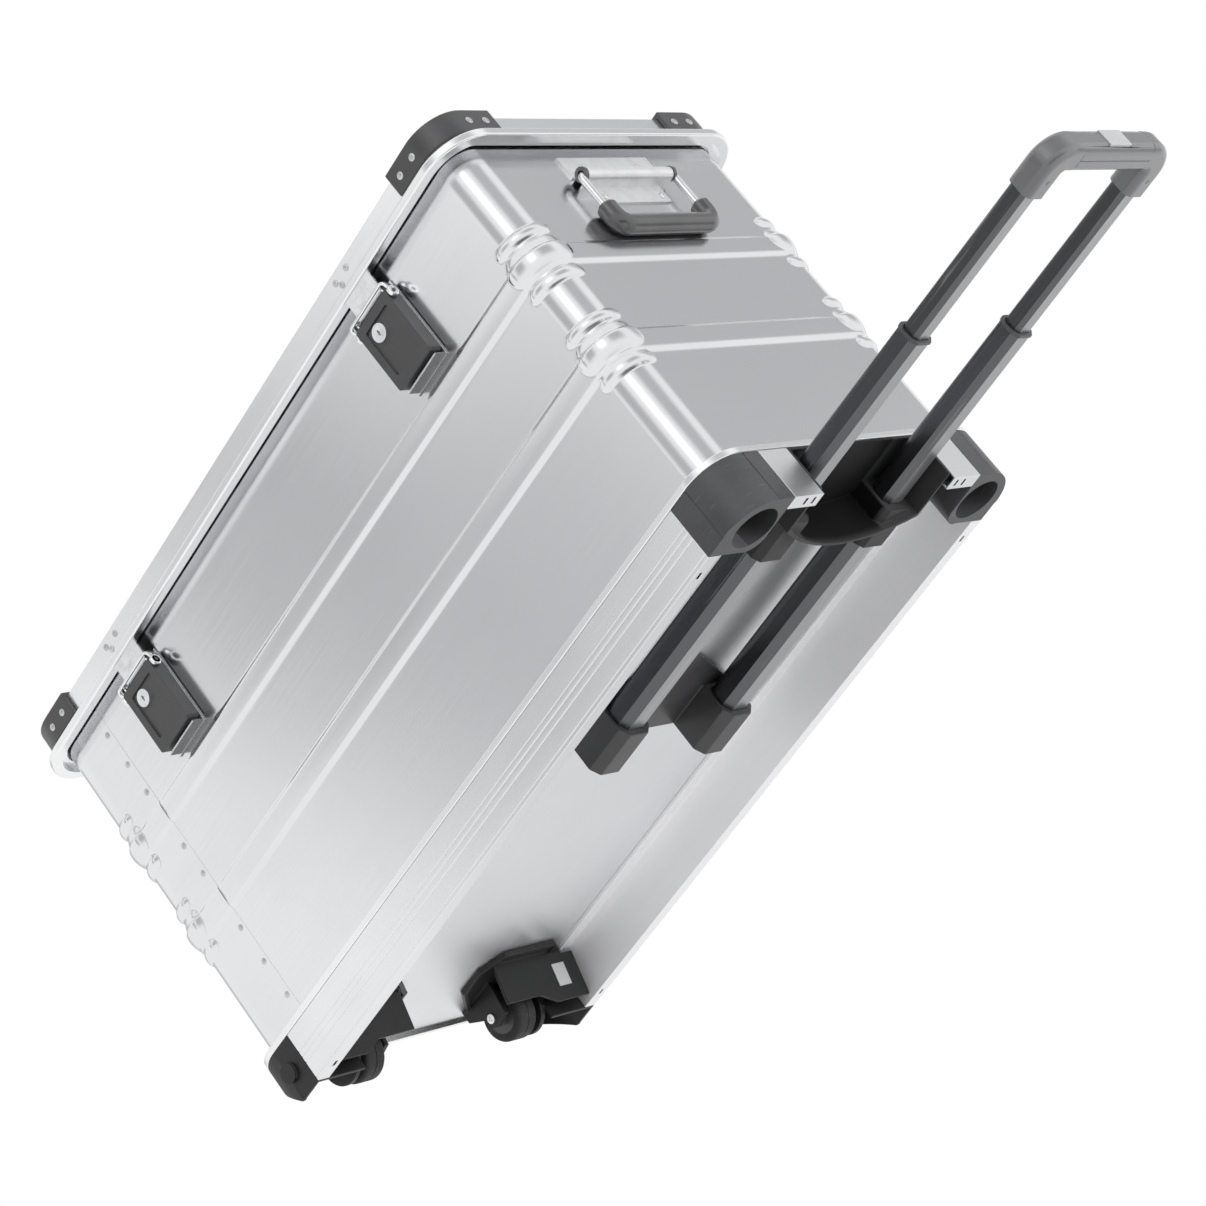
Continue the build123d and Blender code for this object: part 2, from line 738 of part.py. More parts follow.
# Grip elbows with sleeves for the inner tubes and a channel for the release wire
for side_name, side in sides:
    sleeve_plane = tube_plane(sleeve_start, side)
    with BuildPart() as grip_elbow:
        with BuildLine(Plane.XY.offset(grip_z)) as elbow_path:
            FilletPolyline((sleeve_start, side * tube_y), (grip_x, side * tube_y),
                           (grip_x, side * grip_half_length), radius=elbow_bend)
        with BuildSketch(across(sleeve_start, side * tube_y, grip_z)):
            RectangleRounded(elbow_width, elbow_height, elbow_round)
        sweep(path=elbow_path.wire())
        with BuildLine(Plane.XY.offset(tube_z)) as channel_path:
            FilletPolyline((sleeve_start, side * tube_y), (channel_x, side * tube_y),
                           (channel_x, side * grip_half_length), radius=channel_bend)
        with BuildSketch(sleeve_plane):
            Circle(channel_radius)
        sweep(path=channel_path.wire(), mode=Mode.SUBTRACT)
        extrude(tube_face(sleeve_plane, inner_section), amount=inner_tube_end - sleeve_start,
                mode=Mode.SUBTRACT)
    grip_elbow.part.label = f"grip_elbow_{side_name}"
    export_step(grip_elbow.part, f"parts/grip_elbow_{side_name}.step")

# Grip bar in two halves round a common cavity: the outer half has the button's window
bar_plane = upright(0, grip_x, grip_z)
split_plane = across(grip_x)
cavity_middle = ((cavity_low_x + cavity_high_x) / 2, 0, grip_z)
cavity_size = (cavity_high_x - cavity_low_x, 2 * grip_half_length, 2 * cavity_half_height)
window_size = (grip_depth, 2 * (button_half_width + button_gap), 2 * (button_half_height + button_gap))

with BuildPart() as grip_bar_outer:
    with BuildSketch(bar_plane):
        RectangleRounded(grip_depth, grip_height, grip_round)
    extrude(amount=grip_half_length, both=True)
    with Locations(cavity_middle):
        Box(*cavity_size, mode=Mode.SUBTRACT)
    with Locations((grip_x + grip_depth / 2, 0, grip_z)):
        Box(*window_size, mode=Mode.SUBTRACT)
    split(bisect_by=split_plane, keep=Keep.TOP)
grip_bar_outer.part.label = "grip_bar_outer"
export_step(grip_bar_outer.part, "parts/grip_bar_outer.step")

# The inner half has shallow finger grooves
with BuildPart() as grip_bar_inner:
    with BuildSketch(bar_plane):
        RectangleRounded(grip_depth, grip_height, grip_round)
    extrude(amount=grip_half_length, both=True)
    with Locations(cavity_middle):
        Box(*cavity_size, mode=Mode.SUBTRACT)
    with Locations((grip_x - grip_depth / 2 + finger_depth - finger_radius, 0, grip_z)):
        with GridLocations(finger_step, finger_step, 1, finger_count):
            Cylinder(finger_radius, grip_height, mode=Mode.SUBTRACT)
    split(bisect_by=split_plane, keep=Keep.BOTTOM)
grip_bar_inner.part.label = "grip_bar_inner"
export_step(grip_bar_inner.part, "parts/grip_bar_inner.step")

# Release button with a retaining flange and a stem to the release wire
with BuildPart() as release_button:
    button_face_x = grip_x + grip_depth / 2 + button_proud
    flange_face_x = cavity_high_x - button_gap
    flange_back_x = flange_face_x - button_flange
    stem_start_x = wire_x + wire_radius
    with Locations(((button_face_x + flange_face_x) / 2, 0, grip_z)):
        Box(button_face_x - flange_face_x, 2 * button_half_width, 2 * button_half_height)
    with Locations(((flange_face_x + flange_back_x) / 2, 0, grip_z)):
        Box(button_flange, 2 * (button_half_width + button_flange_side), 2 * button_half_height)
    with Locations(((stem_start_x + flange_back_x) / 2, 0, tube_z)):
        Box(flange_back_x - stem_start_x, 2 * wire_radius, 2 * wire_radius)
release_button.part.label = "release_button"
export_step(release_button.part, "parts/release_button.step")

# Release wire that runs from the button down both inner tubes
with BuildPart() as release_wire:
    with BuildLine(Plane.XY.offset(tube_z)) as wire_path:
        FilletPolyline((wire_end_x, -tube_y), (wire_x, -tube_y), (wire_x, tube_y), (wire_end_x, tube_y),
                       radius=wire_bend)
    with BuildSketch(tube_plane(wire_end_x, -1)):
        Circle(wire_radius)
    sweep(path=wire_path.wire())
release_wire.part.label = "release_wire"
export_step(release_wire.part, "parts/release_wire.step")

# Lid panel
with BuildPart() as lid_panel:
    with BuildSketch(Plane.XY.offset(panel_low)):
        with Locations((case_middle_x, 0)):
            RectangleRounded(*case_outline(lid_gap))
    extrude(amount=panel_thick)
lid_panel.part.label = "lid_panel"
export_step(lid_panel.part, "parts/lid_panel.step")

# Lid frame: wide rounded rim, hollow below next to the walls, web over the seal, and upright flange
with BuildPart() as lid_frame:
    with BuildSketch(Plane.XY.offset(rim_low)):
        with Locations((case_middle_x, 0)):
            RectangleRounded(*case_outline(rim_grow))
            RectangleRounded(*case_outline(lid_gap), mode=Mode.SUBTRACT)
    extrude(amount=rim_high - rim_low)
    outer_edges = lid_frame.faces().sort_by(Axis.Z)[0].outer_wire().edges()
    outer_edges += lid_frame.faces().sort_by(Axis.Z)[-1].outer_wire().edges()
    fillet(outer_edges, radius=rim_round)
    with BuildSketch(Plane.XY.offset(rim_low)):
        with Locations((case_middle_x, 0)):
            RectangleRounded(*case_outline(rim_inner_grow))
    extrude(amount=rim_shelf - rim_low, mode=Mode.SUBTRACT)
    with BuildSketch(Plane.XY.offset(rim_high)):
        with Locations((case_middle_x, 0)):
            RectangleRounded(*case_outline(flange_grow))
            RectangleRounded(*case_outline(lid_gap), mode=Mode.SUBTRACT)
    extrude(amount=lid_high - rim_high)
    with BuildSketch(Plane.XY.offset(web_low)):
        with Locations((case_middle_x, 0)):
            RectangleRounded(*case_outline(lid_gap))
            RectangleRounded(*case_outline(web_inner_grow), mode=Mode.SUBTRACT)
    extrude(amount=web_high - web_low)
lid_frame.part.label = "lid_frame"
export_step(lid_frame.part, "parts/lid_frame.step")

# Seal under the lid's web, just clear of the walls
with BuildPart() as lid_seal:
    with BuildSketch(Plane.XY.offset(wall_top + seal_gap)):
        with Locations((case_middle_x, 0)):
            RectangleRounded(*case_outline(0))
            RectangleRounded(*case_outline(web_inner_grow), mode=Mode.SUBTRACT)
    extrude(amount=web_low - wall_top - seal_gap)
lid_seal.part.label = "lid_seal"
export_step(lid_seal.part, "parts/lid_seal.step")

# Corner protectors: a side wall and a lip over the lid's edge, at the four corners only
corner_half_length = wall_half_length + flange_grow + corner_thick
corner_half_width = wall_half_width + flange_grow + corner_thick
with BuildPart() as lid_corners:
    with BuildSketch(Plane.XY.offset(corner_low)):
        with Locations((case_middle_x, 0)):
            RectangleRounded(*case_outline(flange_grow + corner_thick))
            RectangleRounded(*case_outline(flange_grow), mode=Mode.SUBTRACT)
    extrude(amount=corner_high - corner_low)
    with BuildSketch(Plane.XY.offset(lid_high)):
        with Locations((case_middle_x, 0)):
            RectangleRounded(*case_outline(flange_grow))
            RectangleRounded(*case_outline(flange_grow - corner_lip), mode=Mode.SUBTRACT)
    extrude(amount=corner_high - lid_high)
    cut_height = 2 * (corner_high - corner_low)
    with Locations((case_middle_x, 0, (corner_low + corner_high) / 2)):
        Box(2 * (corner_half_length - corner_leg), case_width, cut_height, mode=Mode.SUBTRACT)
        Box(case_length, 2 * (corner_half_width - corner_leg), cut_height, mode=Mode.SUBTRACT)
lid_corners.part.label = "lid_corners"
export_step(lid_corners.part, "parts/lid_corners.step")

# Domed rivets: two on each leg of the protectors and three over each strike plate
with BuildPart() as lid_rivets:
    for along in (-1, 1):
        for aside in (-1, 1):
            for inset in corner_rivet_places:
                leg_x = case_middle_x + along * (corner_half_length - corner_leg + inset)
                leg_y = aside * (corner_half_width - corner_leg + inset)
                side_plane = Plane(origin=(leg_x, aside * corner_half_width, corner_rivet_z),
                                   z_dir=(0, aside, 0))
                end_x = case_middle_x + along * corner_half_length
                end_plane = Plane(origin=(end_x, leg_y, corner_rivet_z), z_dir=(along, 0, 0))
                for rivet_plane in (side_plane, end_plane):
                    with BuildSketch(rivet_plane):
                        Circle(rivet_radius)
                    extrude(amount=rivet_height, taper=rivet_taper)
    for latch_name, latch in latches:
        for rivet_x, rivet_z in strike_rivets:
            with BuildSketch(upright(-wall_half_width - flange_grow,
                                     case_middle_x + latch * latch_offset + rivet_x, rivet_z)):
                Circle(seam_rivet_radius)
            extrude(amount=rivet_height, taper=rivet_taper)
lid_rivets.part.label = "lid_rivets"
export_step(lid_rivets.part, "parts/lid_rivets.step")

# Strike plates hanging from the rim's inner face, with a lip at the lower edge
with BuildPart() as strike_plates:
    for latch_name, latch in latches:
        latch_x = case_middle_x + latch * latch_offset
        with Locations((latch_x, strike_back_y - strike_thick / 2, (strike_low + rim_shelf) / 2)):
            Box(2 * strike_half_width, strike_thick, rim_shelf - strike_low)
        with Locations((latch_x, (strike_back_y + strike_lip_y) / 2, strike_low + strike_thick / 2)):
            Box(2 * strike_half_width, strike_back_y - strike_lip_y, strike_thick)
strike_plates.part.label = "strike_plates"
export_step(strike_plates.part, "parts/strike_plates.step")

# Pivot pins held in the ears of the latch plates
with BuildPart() as latch_pins:
    for latch_name, latch in latches:
        for side in (-1, 1):
            ear_x = case_middle_x + latch * latch_offset + side * ear_inner
            with BuildSketch(across(ear_x, pivot_y, pivot_z)):
                Circle(pivot_radius)
            extrude(amount=side * (lever_half_width - ear_inner))
latch_pins.part.label = "latch_pins"
export_step(latch_pins.part, "parts/latch_pins.step")

for latch_name, latch in latches:
    latch_x = case_middle_x + latch * latch_offset

    # Latch plate on the wall, with two ears for the pivot pins
    with BuildPart() as latch_plate:
        plate_bottom, plate_top = latch_plate_z
        with Locations((latch_x, -wall_half_width - latch_plate_thick / 2, (plate_bottom + plate_top) / 2)):
            Box(2 * latch_plate_half_width, latch_plate_thick, plate_top - plate_bottom)
        for side in (-1, 1):
            with BuildSketch(across(latch_x + side * ear_inner)):
                with Locations(((pivot_y - wall_half_width) / 2, pivot_z)):
                    Rectangle(-wall_half_width - pivot_y, 2 * pivot_eye)
                with Locations((pivot_y, pivot_z)):
                    Circle(pivot_eye)
                    Circle(pivot_radius, mode=Mode.SUBTRACT)
            extrude(amount=side * ear_thick)
    latch_plate.part.label = f"latch_plate_{latch_name}"
    export_step(latch_plate.part, f"parts/latch_plate_{latch_name}.step")

    # Lever: a shell open at the back and top, with cheeks round the pivot and two bail pins
    with BuildPart() as latch_lever:
        lever_low, lever_high = lever_z
        with BuildSketch(upright(lever_back_y, latch_x, (lever_low + lever_high) / 2)):
            RectangleRounded(2 * lever_half_width, lever_high - lever_low, lever_round)
        extrude(amount=lever_back_y - lever_front_y)
        inside_y = lever_front_y + lever_skin
        with Locations((latch_x, (inside_y + lever_back_y) / 2, (lever_low + lever_high) / 2 + lever_skin)):
            Box(2 * (lever_half_width - lever_skin), lever_back_y - inside_y, lever_high - lever_low,
                mode=Mode.SUBTRACT)
        for side in (-1, 1):
            cheek_plane = across(latch_x + side * lever_half_width)
            with BuildSketch(cheek_plane):
                with Locations((pivot_y, (cheek_low + pivot_z) / 2)):
                    Rectangle(2 * pivot_eye, pivot_z - cheek_low)
                with Locations((pivot_y, pivot_z)):
                    Circle(pivot_eye)
            extrude(amount=-side * lever_skin)
            with BuildSketch(cheek_plane):
                with Locations((pivot_y, pivot_z)):
                    Circle(pivot_radius + running_gap)
            extrude(amount=-side * lever_skin, mode=Mode.SUBTRACT)
            with BuildSketch(cheek_plane):
                with Locations((bail_pivot_y, bail_pivot_z)):
                    Circle(bail_pin_radius)
            extrude(amount=side * bail_pin_length)
        with BuildSketch(upright(lever_front_y, latch_x, panel_recess_z)):
            RectangleRounded(*panel_recess_size, lever_round / 2)
        extrude(amount=-panel_recess, mode=Mode.SUBTRACT)
        with BuildSketch(upright(lever_front_y, latch_x + lock_x, lock_z)):
            Circle(lock_radius + running_gap)
        extrude(amount=-lever_skin, mode=Mode.SUBTRACT)
    latch_lever.part.label = f"latch_lever_{latch_name}"
    export_step(latch_lever.part, f"parts/latch_lever_{latch_name}.step")

    # Lock cylinder with a keyway
    with BuildPart() as lock_cylinder:
        lock_face = upright(lever_front_y - lock_proud, latch_x + lock_x, lock_z)
        with BuildSketch(lock_face):
            Circle(lock_radius)
        extrude(amount=-lock_length)
        with BuildSketch(lock_face):
            Rectangle(*keyway)
            Circle(keyway[0])
        extrude(amount=-lock_length / 2, mode=Mode.SUBTRACT)
    lock_cylinder.part.label = f"lock_cylinder_{latch_name}"
    export_step(lock_cylinder.part, f"parts/lock_cylinder_{latch_name}.step")

    # Wire bail with an eye round each bail pin and a bar across the strike plate's lip
    with BuildPart() as latch_bail:
        bail_plane = Plane(origin=(latch_x, bail_pivot_y, bail_pivot_z), x_dir=(1, 0, 0), z_dir=bail_lean)
        with BuildLine(bail_plane) as bail_path:
            FilletPolyline((-bail_side, bail_root), (-bail_side, bail_rise), (bail_side, bail_rise),
                           (bail_side, bail_root), radius=bail_bend)
        with BuildSketch(Plane(origin=bail_path.line @ 0, z_dir=bail_path.line % 0)):
            Circle(bail_wire)
        sweep(path=bail_path.wire())
        for side in (-1, 1):
            with BuildSketch(across(latch_x + side * bail_side, bail_pivot_y, bail_pivot_z)):
                Circle(bail_eye)
                Circle(bail_pin_radius + running_gap, mode=Mode.SUBTRACT)
            extrude(amount=bail_eye_half, both=True)
    latch_bail.part.label = f"latch_bail_{latch_name}"
    export_step(latch_bail.part, f"parts/latch_bail_{latch_name}.step")

# Hinge leaves on the back wall, each with two knuckles
with BuildPart() as hinge_body_leaves:
    arm_low, arm_high = hinge_arm
    knuckle_length = hinge_half_width - hinge_body_knuckle
    for hinge in (-1, 1):
        hinge_x = case_middle_x + hinge * hinge_offset
        with Locations((hinge_x, wall_half_width + hinge_leaf / 2, (hinge_body_low + arm_high) / 2)):
            Box(2 * hinge_half_width, hinge_leaf, arm_high - hinge_body_low)
        for side in (-1, 1):
            with Locations((hinge_x + side * (hinge_body_knuckle + knuckle_length / 2),
                            (wall_half_width + hinge_y) / 2, (arm_low + arm_high) / 2)):
                Box(knuckle_length, hinge_y - wall_half_width, arm_high - arm_low)
            knuckle_plane = across(hinge_x + side * hinge_body_knuckle, hinge_y, hinge_z)
            with BuildSketch(knuckle_plane):
                Circle(hinge_knuckle)
            extrude(amount=side * knuckle_length)
            with BuildSketch(knuckle_plane):
                Circle(hinge_pin_radius)
            extrude(amount=side * knuckle_length, mode=Mode.SUBTRACT)
hinge_body_leaves.part.label = "hinge_body_leaves"
export_step(hinge_body_leaves.part, "parts/hinge_body_leaves.step")

# Hinge leaves flat under the lid's rim, each with one knuckle between the other two
with BuildPart() as hinge_lid_leaves:
    leaf_inner_y = wall_half_width + rim_inner_grow
    leaf_outer_y = wall_half_width + rim_grow - rim_round
    for hinge in (-1, 1):
        hinge_x = case_middle_x + hinge * hinge_offset
        with Locations((hinge_x, (leaf_inner_y + leaf_outer_y) / 2, (hinge_lid_leaf_low + rim_low) / 2)):
            Box(2 * hinge_half_width, leaf_outer_y - leaf_inner_y, rim_low - hinge_lid_leaf_low)
        with Locations((hinge_x, hinge_y, (hinge_z + hinge_lid_leaf_low) / 2)):
            Box(2 * hinge_lid_knuckle, hinge_leaf, hinge_lid_leaf_low - hinge_z)
        with BuildSketch(across(hinge_x, hinge_y, hinge_z)):
            Circle(hinge_knuckle)
        extrude(amount=hinge_lid_knuckle, both=True)
        with BuildSketch(across(hinge_x, hinge_y, hinge_z)):
            Circle(hinge_pin_radius + running_gap)
        extrude(amount=hinge_lid_knuckle, both=True, mode=Mode.SUBTRACT)
hinge_lid_leaves.part.label = "hinge_lid_leaves"
export_step(hinge_lid_leaves.part, "parts/hinge_lid_leaves.step")

# Hinge pins
with BuildPart() as hinge_pins:
    for hinge in (-1, 1):
        with BuildSketch(across(case_middle_x + hinge * hinge_offset, hinge_y, hinge_z)):
            Circle(hinge_pin_radius)
        extrude(amount=hinge_half_width, both=True)
hinge_pins.part.label = "hinge_pins"
export_step(hinge_pins.part, "parts/hinge_pins.step")

# Carry handles on both ends: a plate with a rolled clasp, a wire bail and a moulded grip
for end_name, end in ends:
    wall_x = case_middle_x + end * wall_half_length
    carry_x = wall_x + end * carry_axis_out
    carry_low, carry_high = carry_plate_z

    with BuildPart() as carry_plate:
        with Locations((wall_x + end * carry_plate_thick / 2, 0, (carry_low + carry_high) / 2)):
            Box(carry_plate_thick, 2 * carry_plate_half_width, carry_high - carry_low)
        with BuildSketch(upright(0)):
            with Locations(((wall_x + carry_x) / 2, carry_axis_z)):
                Rectangle(carry_axis_out, 2 * clasp_radius)
            with Locations((carry_x, carry_axis_z)):
                Circle(clasp_radius)
                Circle(carry_wire + running_gap, mode=Mode.SUBTRACT)
        extrude(amount=clasp_half_width, both=True)
    carry_plate.part.label = f"carry_plate_{end_name}"
    export_step(carry_plate.part, f"parts/carry_plate_{end_name}.step")

    with BuildPart() as carry_bail:
        with BuildLine(across(carry_x)) as carry_path:
            FilletPolyline(
                (carry_wire_gap, carry_grip_z),
                (carry_half_width, carry_grip_z),
                (carry_half_width, carry_axis_z),
                (-carry_half_width, carry_axis_z),
                (-carry_half_width, carry_grip_z),
                (-carry_wire_gap, carry_grip_z),
                radius=carry_bend,
            )
        with BuildSketch(upright(carry_wire_gap, carry_x, carry_grip_z)):
            Circle(carry_wire)
        sweep(path=carry_path.wire())
    carry_bail.part.label = f"carry_bail_{end_name}"
    export_step(carry_bail.part, f"parts/carry_bail_{end_name}.step")

    with BuildPart() as carry_grip:
        with BuildLine(across(carry_x)) as grip_path:
            FilletPolyline((-carry_half_width, carry_elbow_top), (-carry_half_width, carry_grip_z),
                           (carry_half_width, carry_grip_z), (carry_half_width, carry_elbow_top),
                           radius=carry_grip_bend)
        with BuildSketch(Plane.XY.offset(carry_elbow_top)):
            with Locations((carry_x, -carry_half_width)):
                Circle(carry_grip_radius)
        sweep(path=grip_path.wire())
        add(carry_bail.part, mode=Mode.SUBTRACT)
    carry_grip.part.label = f"carry_grip_{end_name}"
    export_step(carry_grip.part, f"parts/carry_grip_{end_name}.step")

# Rivets that hold the carry-handle plates
with BuildPart() as carry_rivets:
    rivet_y, rivet_rise = carry_rivet_places
    plate_middle_z = (carry_plate_z[0] + carry_plate_z[1]) / 2
    for end_name, end in ends:
        plate_face_x = case_middle_x + end * (wall_half_length + carry_plate_thick)
        for side in (-1, 1):
            for level in (-1, 1):
                rivet_place = (plate_face_x, side * rivet_y, plate_middle_z + level * rivet_rise)
                rivet_plane = Plane(origin=rivet_place, z_dir=(end, 0, 0))
                with BuildSketch(rivet_plane):
                    Circle(seam_rivet_radius)
                extrude(amount=rivet_height, taper=rivet_taper)
carry_rivets.part.label = "carry_rivets"
export_step(carry_rivets.part, "parts/carry_rivets.step")
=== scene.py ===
import json
import math

import bmesh
import bpy
from mathutils import Matrix, Vector

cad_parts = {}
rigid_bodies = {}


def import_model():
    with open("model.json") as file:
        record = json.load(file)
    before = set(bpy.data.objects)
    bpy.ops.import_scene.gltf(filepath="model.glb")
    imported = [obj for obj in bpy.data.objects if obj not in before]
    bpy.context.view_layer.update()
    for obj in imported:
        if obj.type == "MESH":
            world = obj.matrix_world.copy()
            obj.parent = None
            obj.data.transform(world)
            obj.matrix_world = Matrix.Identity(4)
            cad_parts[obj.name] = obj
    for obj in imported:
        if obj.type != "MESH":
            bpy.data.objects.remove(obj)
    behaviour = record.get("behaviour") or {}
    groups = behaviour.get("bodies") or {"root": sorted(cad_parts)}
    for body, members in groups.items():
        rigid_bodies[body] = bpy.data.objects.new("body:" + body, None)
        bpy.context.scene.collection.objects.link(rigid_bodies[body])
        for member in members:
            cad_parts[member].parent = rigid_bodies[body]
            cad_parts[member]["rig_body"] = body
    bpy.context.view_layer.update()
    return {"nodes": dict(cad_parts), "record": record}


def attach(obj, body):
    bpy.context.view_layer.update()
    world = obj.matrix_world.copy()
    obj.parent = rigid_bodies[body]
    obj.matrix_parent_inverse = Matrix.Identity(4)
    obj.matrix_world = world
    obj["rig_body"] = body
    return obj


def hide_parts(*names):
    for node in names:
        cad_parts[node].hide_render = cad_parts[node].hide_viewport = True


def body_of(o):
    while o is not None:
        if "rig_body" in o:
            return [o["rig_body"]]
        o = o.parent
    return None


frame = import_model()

nodes = frame["nodes"]
slot_of = {part["node"]: part["material_slot"] for part in frame["record"]["subparts"]}

# Lengths are millimetres where a comment does not say metres, and angles are degrees. x is measured from the
# middle of the case, y across it with the latches on the side of negative y, and z up from the floor.
MM = 0.001
CASE_X = -184.0


def rad(degrees):
    return math.radians(degrees)


def smooth_step(value):
    value = min(max(value, 0.0), 1.0)
    return value * value * (3.0 - 2.0 * value)


# Materials

# Share of a painted hole's radius that has the hole's full painted shade
HOLE_CORE = 0.8


class Finish:
    """One procedural material while its nodes are put together."""

    def __init__(self, name, metallic, specular=0.5):
        self.material = bpy.data.materials.new(name)
        self.material.use_nodes = True
        self.nodes = self.material.node_tree.nodes
        self.links = self.material.node_tree.links
        self.bsdf = self.nodes["Principled BSDF"]
        self.bsdf.inputs["Metallic"].default_value = metallic
        self.bsdf.inputs["Specular IOR Level"].default_value = specular
        self.place = self.nodes.new("ShaderNodeTexCoord")
        self.last_bump = None

    def mapped(self, repeats, shift=(0.0, 0.0, 0.0)):
        node = self.nodes.new("ShaderNodeMapping")
        node.inputs["Scale"].default_value = repeats
        node.inputs["Location"].default_value = shift
        self.links.new(self.place.outputs["Object"], node.inputs["Vector"])
        return node.outputs["Vector"]

    def noise(self, repeats, detail, shift=(0.0, 0.0, 0.0)):
        """Noise whose features repeat about so many times in a metre along each axis."""
        node = self.nodes.new("ShaderNodeTexNoise")
        node.inputs["Scale"].default_value = 1.0
        node.inputs["Detail"].default_value = detail
        self.links.new(self.mapped(repeats, shift), node.inputs["Vector"])
        return node.outputs["Fac"]

    def pits(self, repeats):
        node = self.nodes.new("ShaderNodeTexVoronoi")
        node.inputs["Scale"].default_value = 1.0
        self.links.new(self.mapped(repeats), node.inputs["Vector"])
        return node.outputs["Distance"]

    def part(self, source, axis):
        """One component of a surface point's place (Object) or of its normal (Normal)."""
        node = self.nodes.new("ShaderNodeSeparateXYZ")
        self.links.new(self.place.outputs[source], node.inputs["Vector"])
        return node.outputs[axis]

    def span(self, value, start, stop, low, high):
        """Spreads the part of value between start and stop over low to high."""
        node = self.nodes.new("ShaderNodeMapRange")
        node.interpolation_type = "SMOOTHSTEP"
        self.links.new(value, node.inputs["Value"])
        node.inputs["From Min"].default_value = start
        node.inputs["From Max"].default_value = stop
        node.inputs["To Min"].default_value = low
        node.inputs["To Max"].default_value = high
        return node.outputs["Result"]

    def combine(self, operation, first, second):
        node = self.nodes.new("ShaderNodeMath")
        node.operation = operation
        self.links.new(first, node.inputs[0])
        self.links.new(second, node.inputs[1])
        return node.outputs["Value"]

    def tint(self, factor, first, second):
        """Colour between first and second, each a colour or the output of another tint."""
        node = self.nodes.new("ShaderNodeMix")
        node.data_type = "RGBA"
        self.links.new(factor, node.inputs["Factor"])
        for name, colour in (("A", first), ("B", second)):
            socket = [s for s in node.inputs if s.name == name and s.type == "RGBA"][0]
            if isinstance(colour, tuple):
                socket.default_value = (*colour, 1.0)
            else:
                self.links.new(colour, socket)
        return [s for s in node.outputs if s.type == "RGBA"][0]

    def facing_down(self, start, stop):
        """One where a face's normal is lower than start, nought where it is higher than stop."""
        return self.span(self.part("Normal", "Z"), start, stop, 1.0, 0.0)

    def facing_along(self, start, stop):
        """One where a face looks along the case towards either end."""
        along = self.part("Normal", "X")
        return self.span(self.combine("MULTIPLY", along, along), start, stop, 0.0, 1.0)

    def below(self, start, stop):
        """One under the height start, nought over stop."""
        return self.span(self.part("Object", "Z"), start * MM, stop * MM, 1.0, 0.0)

    def aside(self, start, stop):
        """One further than stop from the middle plane across the case, nought nearer than start."""
        out = self.part("Object", "Y")
        squared = self.combine("MULTIPLY", out, out)
        return self.span(squared, (start * MM) ** 2, (stop * MM) ** 2, 0.0, 1.0)

    def spot(self, centre, radius):
        """One close to a place on the case, nought further from it than radius."""
        node = self.nodes.new("ShaderNodeVectorMath")
        node.operation = "DISTANCE"
        self.links.new(self.place.outputs["Object"], node.inputs[0])
        node.inputs[1].default_value = Vector((centre[0] + CASE_X, centre[1], centre[2])) * MM
        return self.span(node.outputs["Value"], HOLE_CORE * radius * MM, radius * MM, 1.0, 0.0)

    def relief(self, height, depth, strength):
        """Adds a bump of the given depth."""
        node = self.nodes.new("ShaderNodeBump")
        node.inputs["Strength"].default_value = strength
        node.inputs["Distance"].default_value = depth * MM
        self.links.new(height, node.inputs["Height"])
        if self.last_bump is not None:
            self.links.new(self.last_bump, node.inputs["Normal"])
        self.last_bump = node.outputs["Normal"]

    def rolled(self, amount, smear):
        """Reflections drawn out along smear, the direction across the rolling lines."""
        self.bsdf.inputs["Anisotropic"].default_value = amount
        along = self.nodes.new("ShaderNodeCombineXYZ")
        for socket, value in zip(along.inputs, smear):
            socket.default_value = value
        self.links.new(along.outputs["Vector"], self.bsdf.inputs["Tangent"])

    def done(self, colour, roughness):
        self.links.new(colour, self.bsdf.inputs["Base Color"])
        self.links.new(roughness, self.bsdf.inputs["Roughness"])
        self.links.new(self.last_bump, self.bsdf.inputs["Normal"])
        return self.material


# Ranges of noise over which a finish changes, most of the noise being inside them. Repeats are counts in a
# metre along x, y and z.
MIDDLE = (0.3, 0.7)
BROAD = (0.25, 0.75)

# Rolled aluminium
LINE_DETAIL = 4.0
LINE_SHARE = 0.3
LINE_GLOSS = 0.02
LINE_DEPTH = 0.004
LINE_STRENGTH = 0.5
CLOUD_REPEATS = (7.0, 7.0, 9.0)
CLOUD_DETAIL = 3.0
CLOUD_SHARE = 0.6
WAVE_REPEATS = (4.0, 4.0, 5.0)
WAVE_DETAIL = 1.0
WAVE_SHIFT = (0.7, 2.0, 0.2)
WAVE_DEPTH = 0.9
WAVE_STRENGTH = 0.25


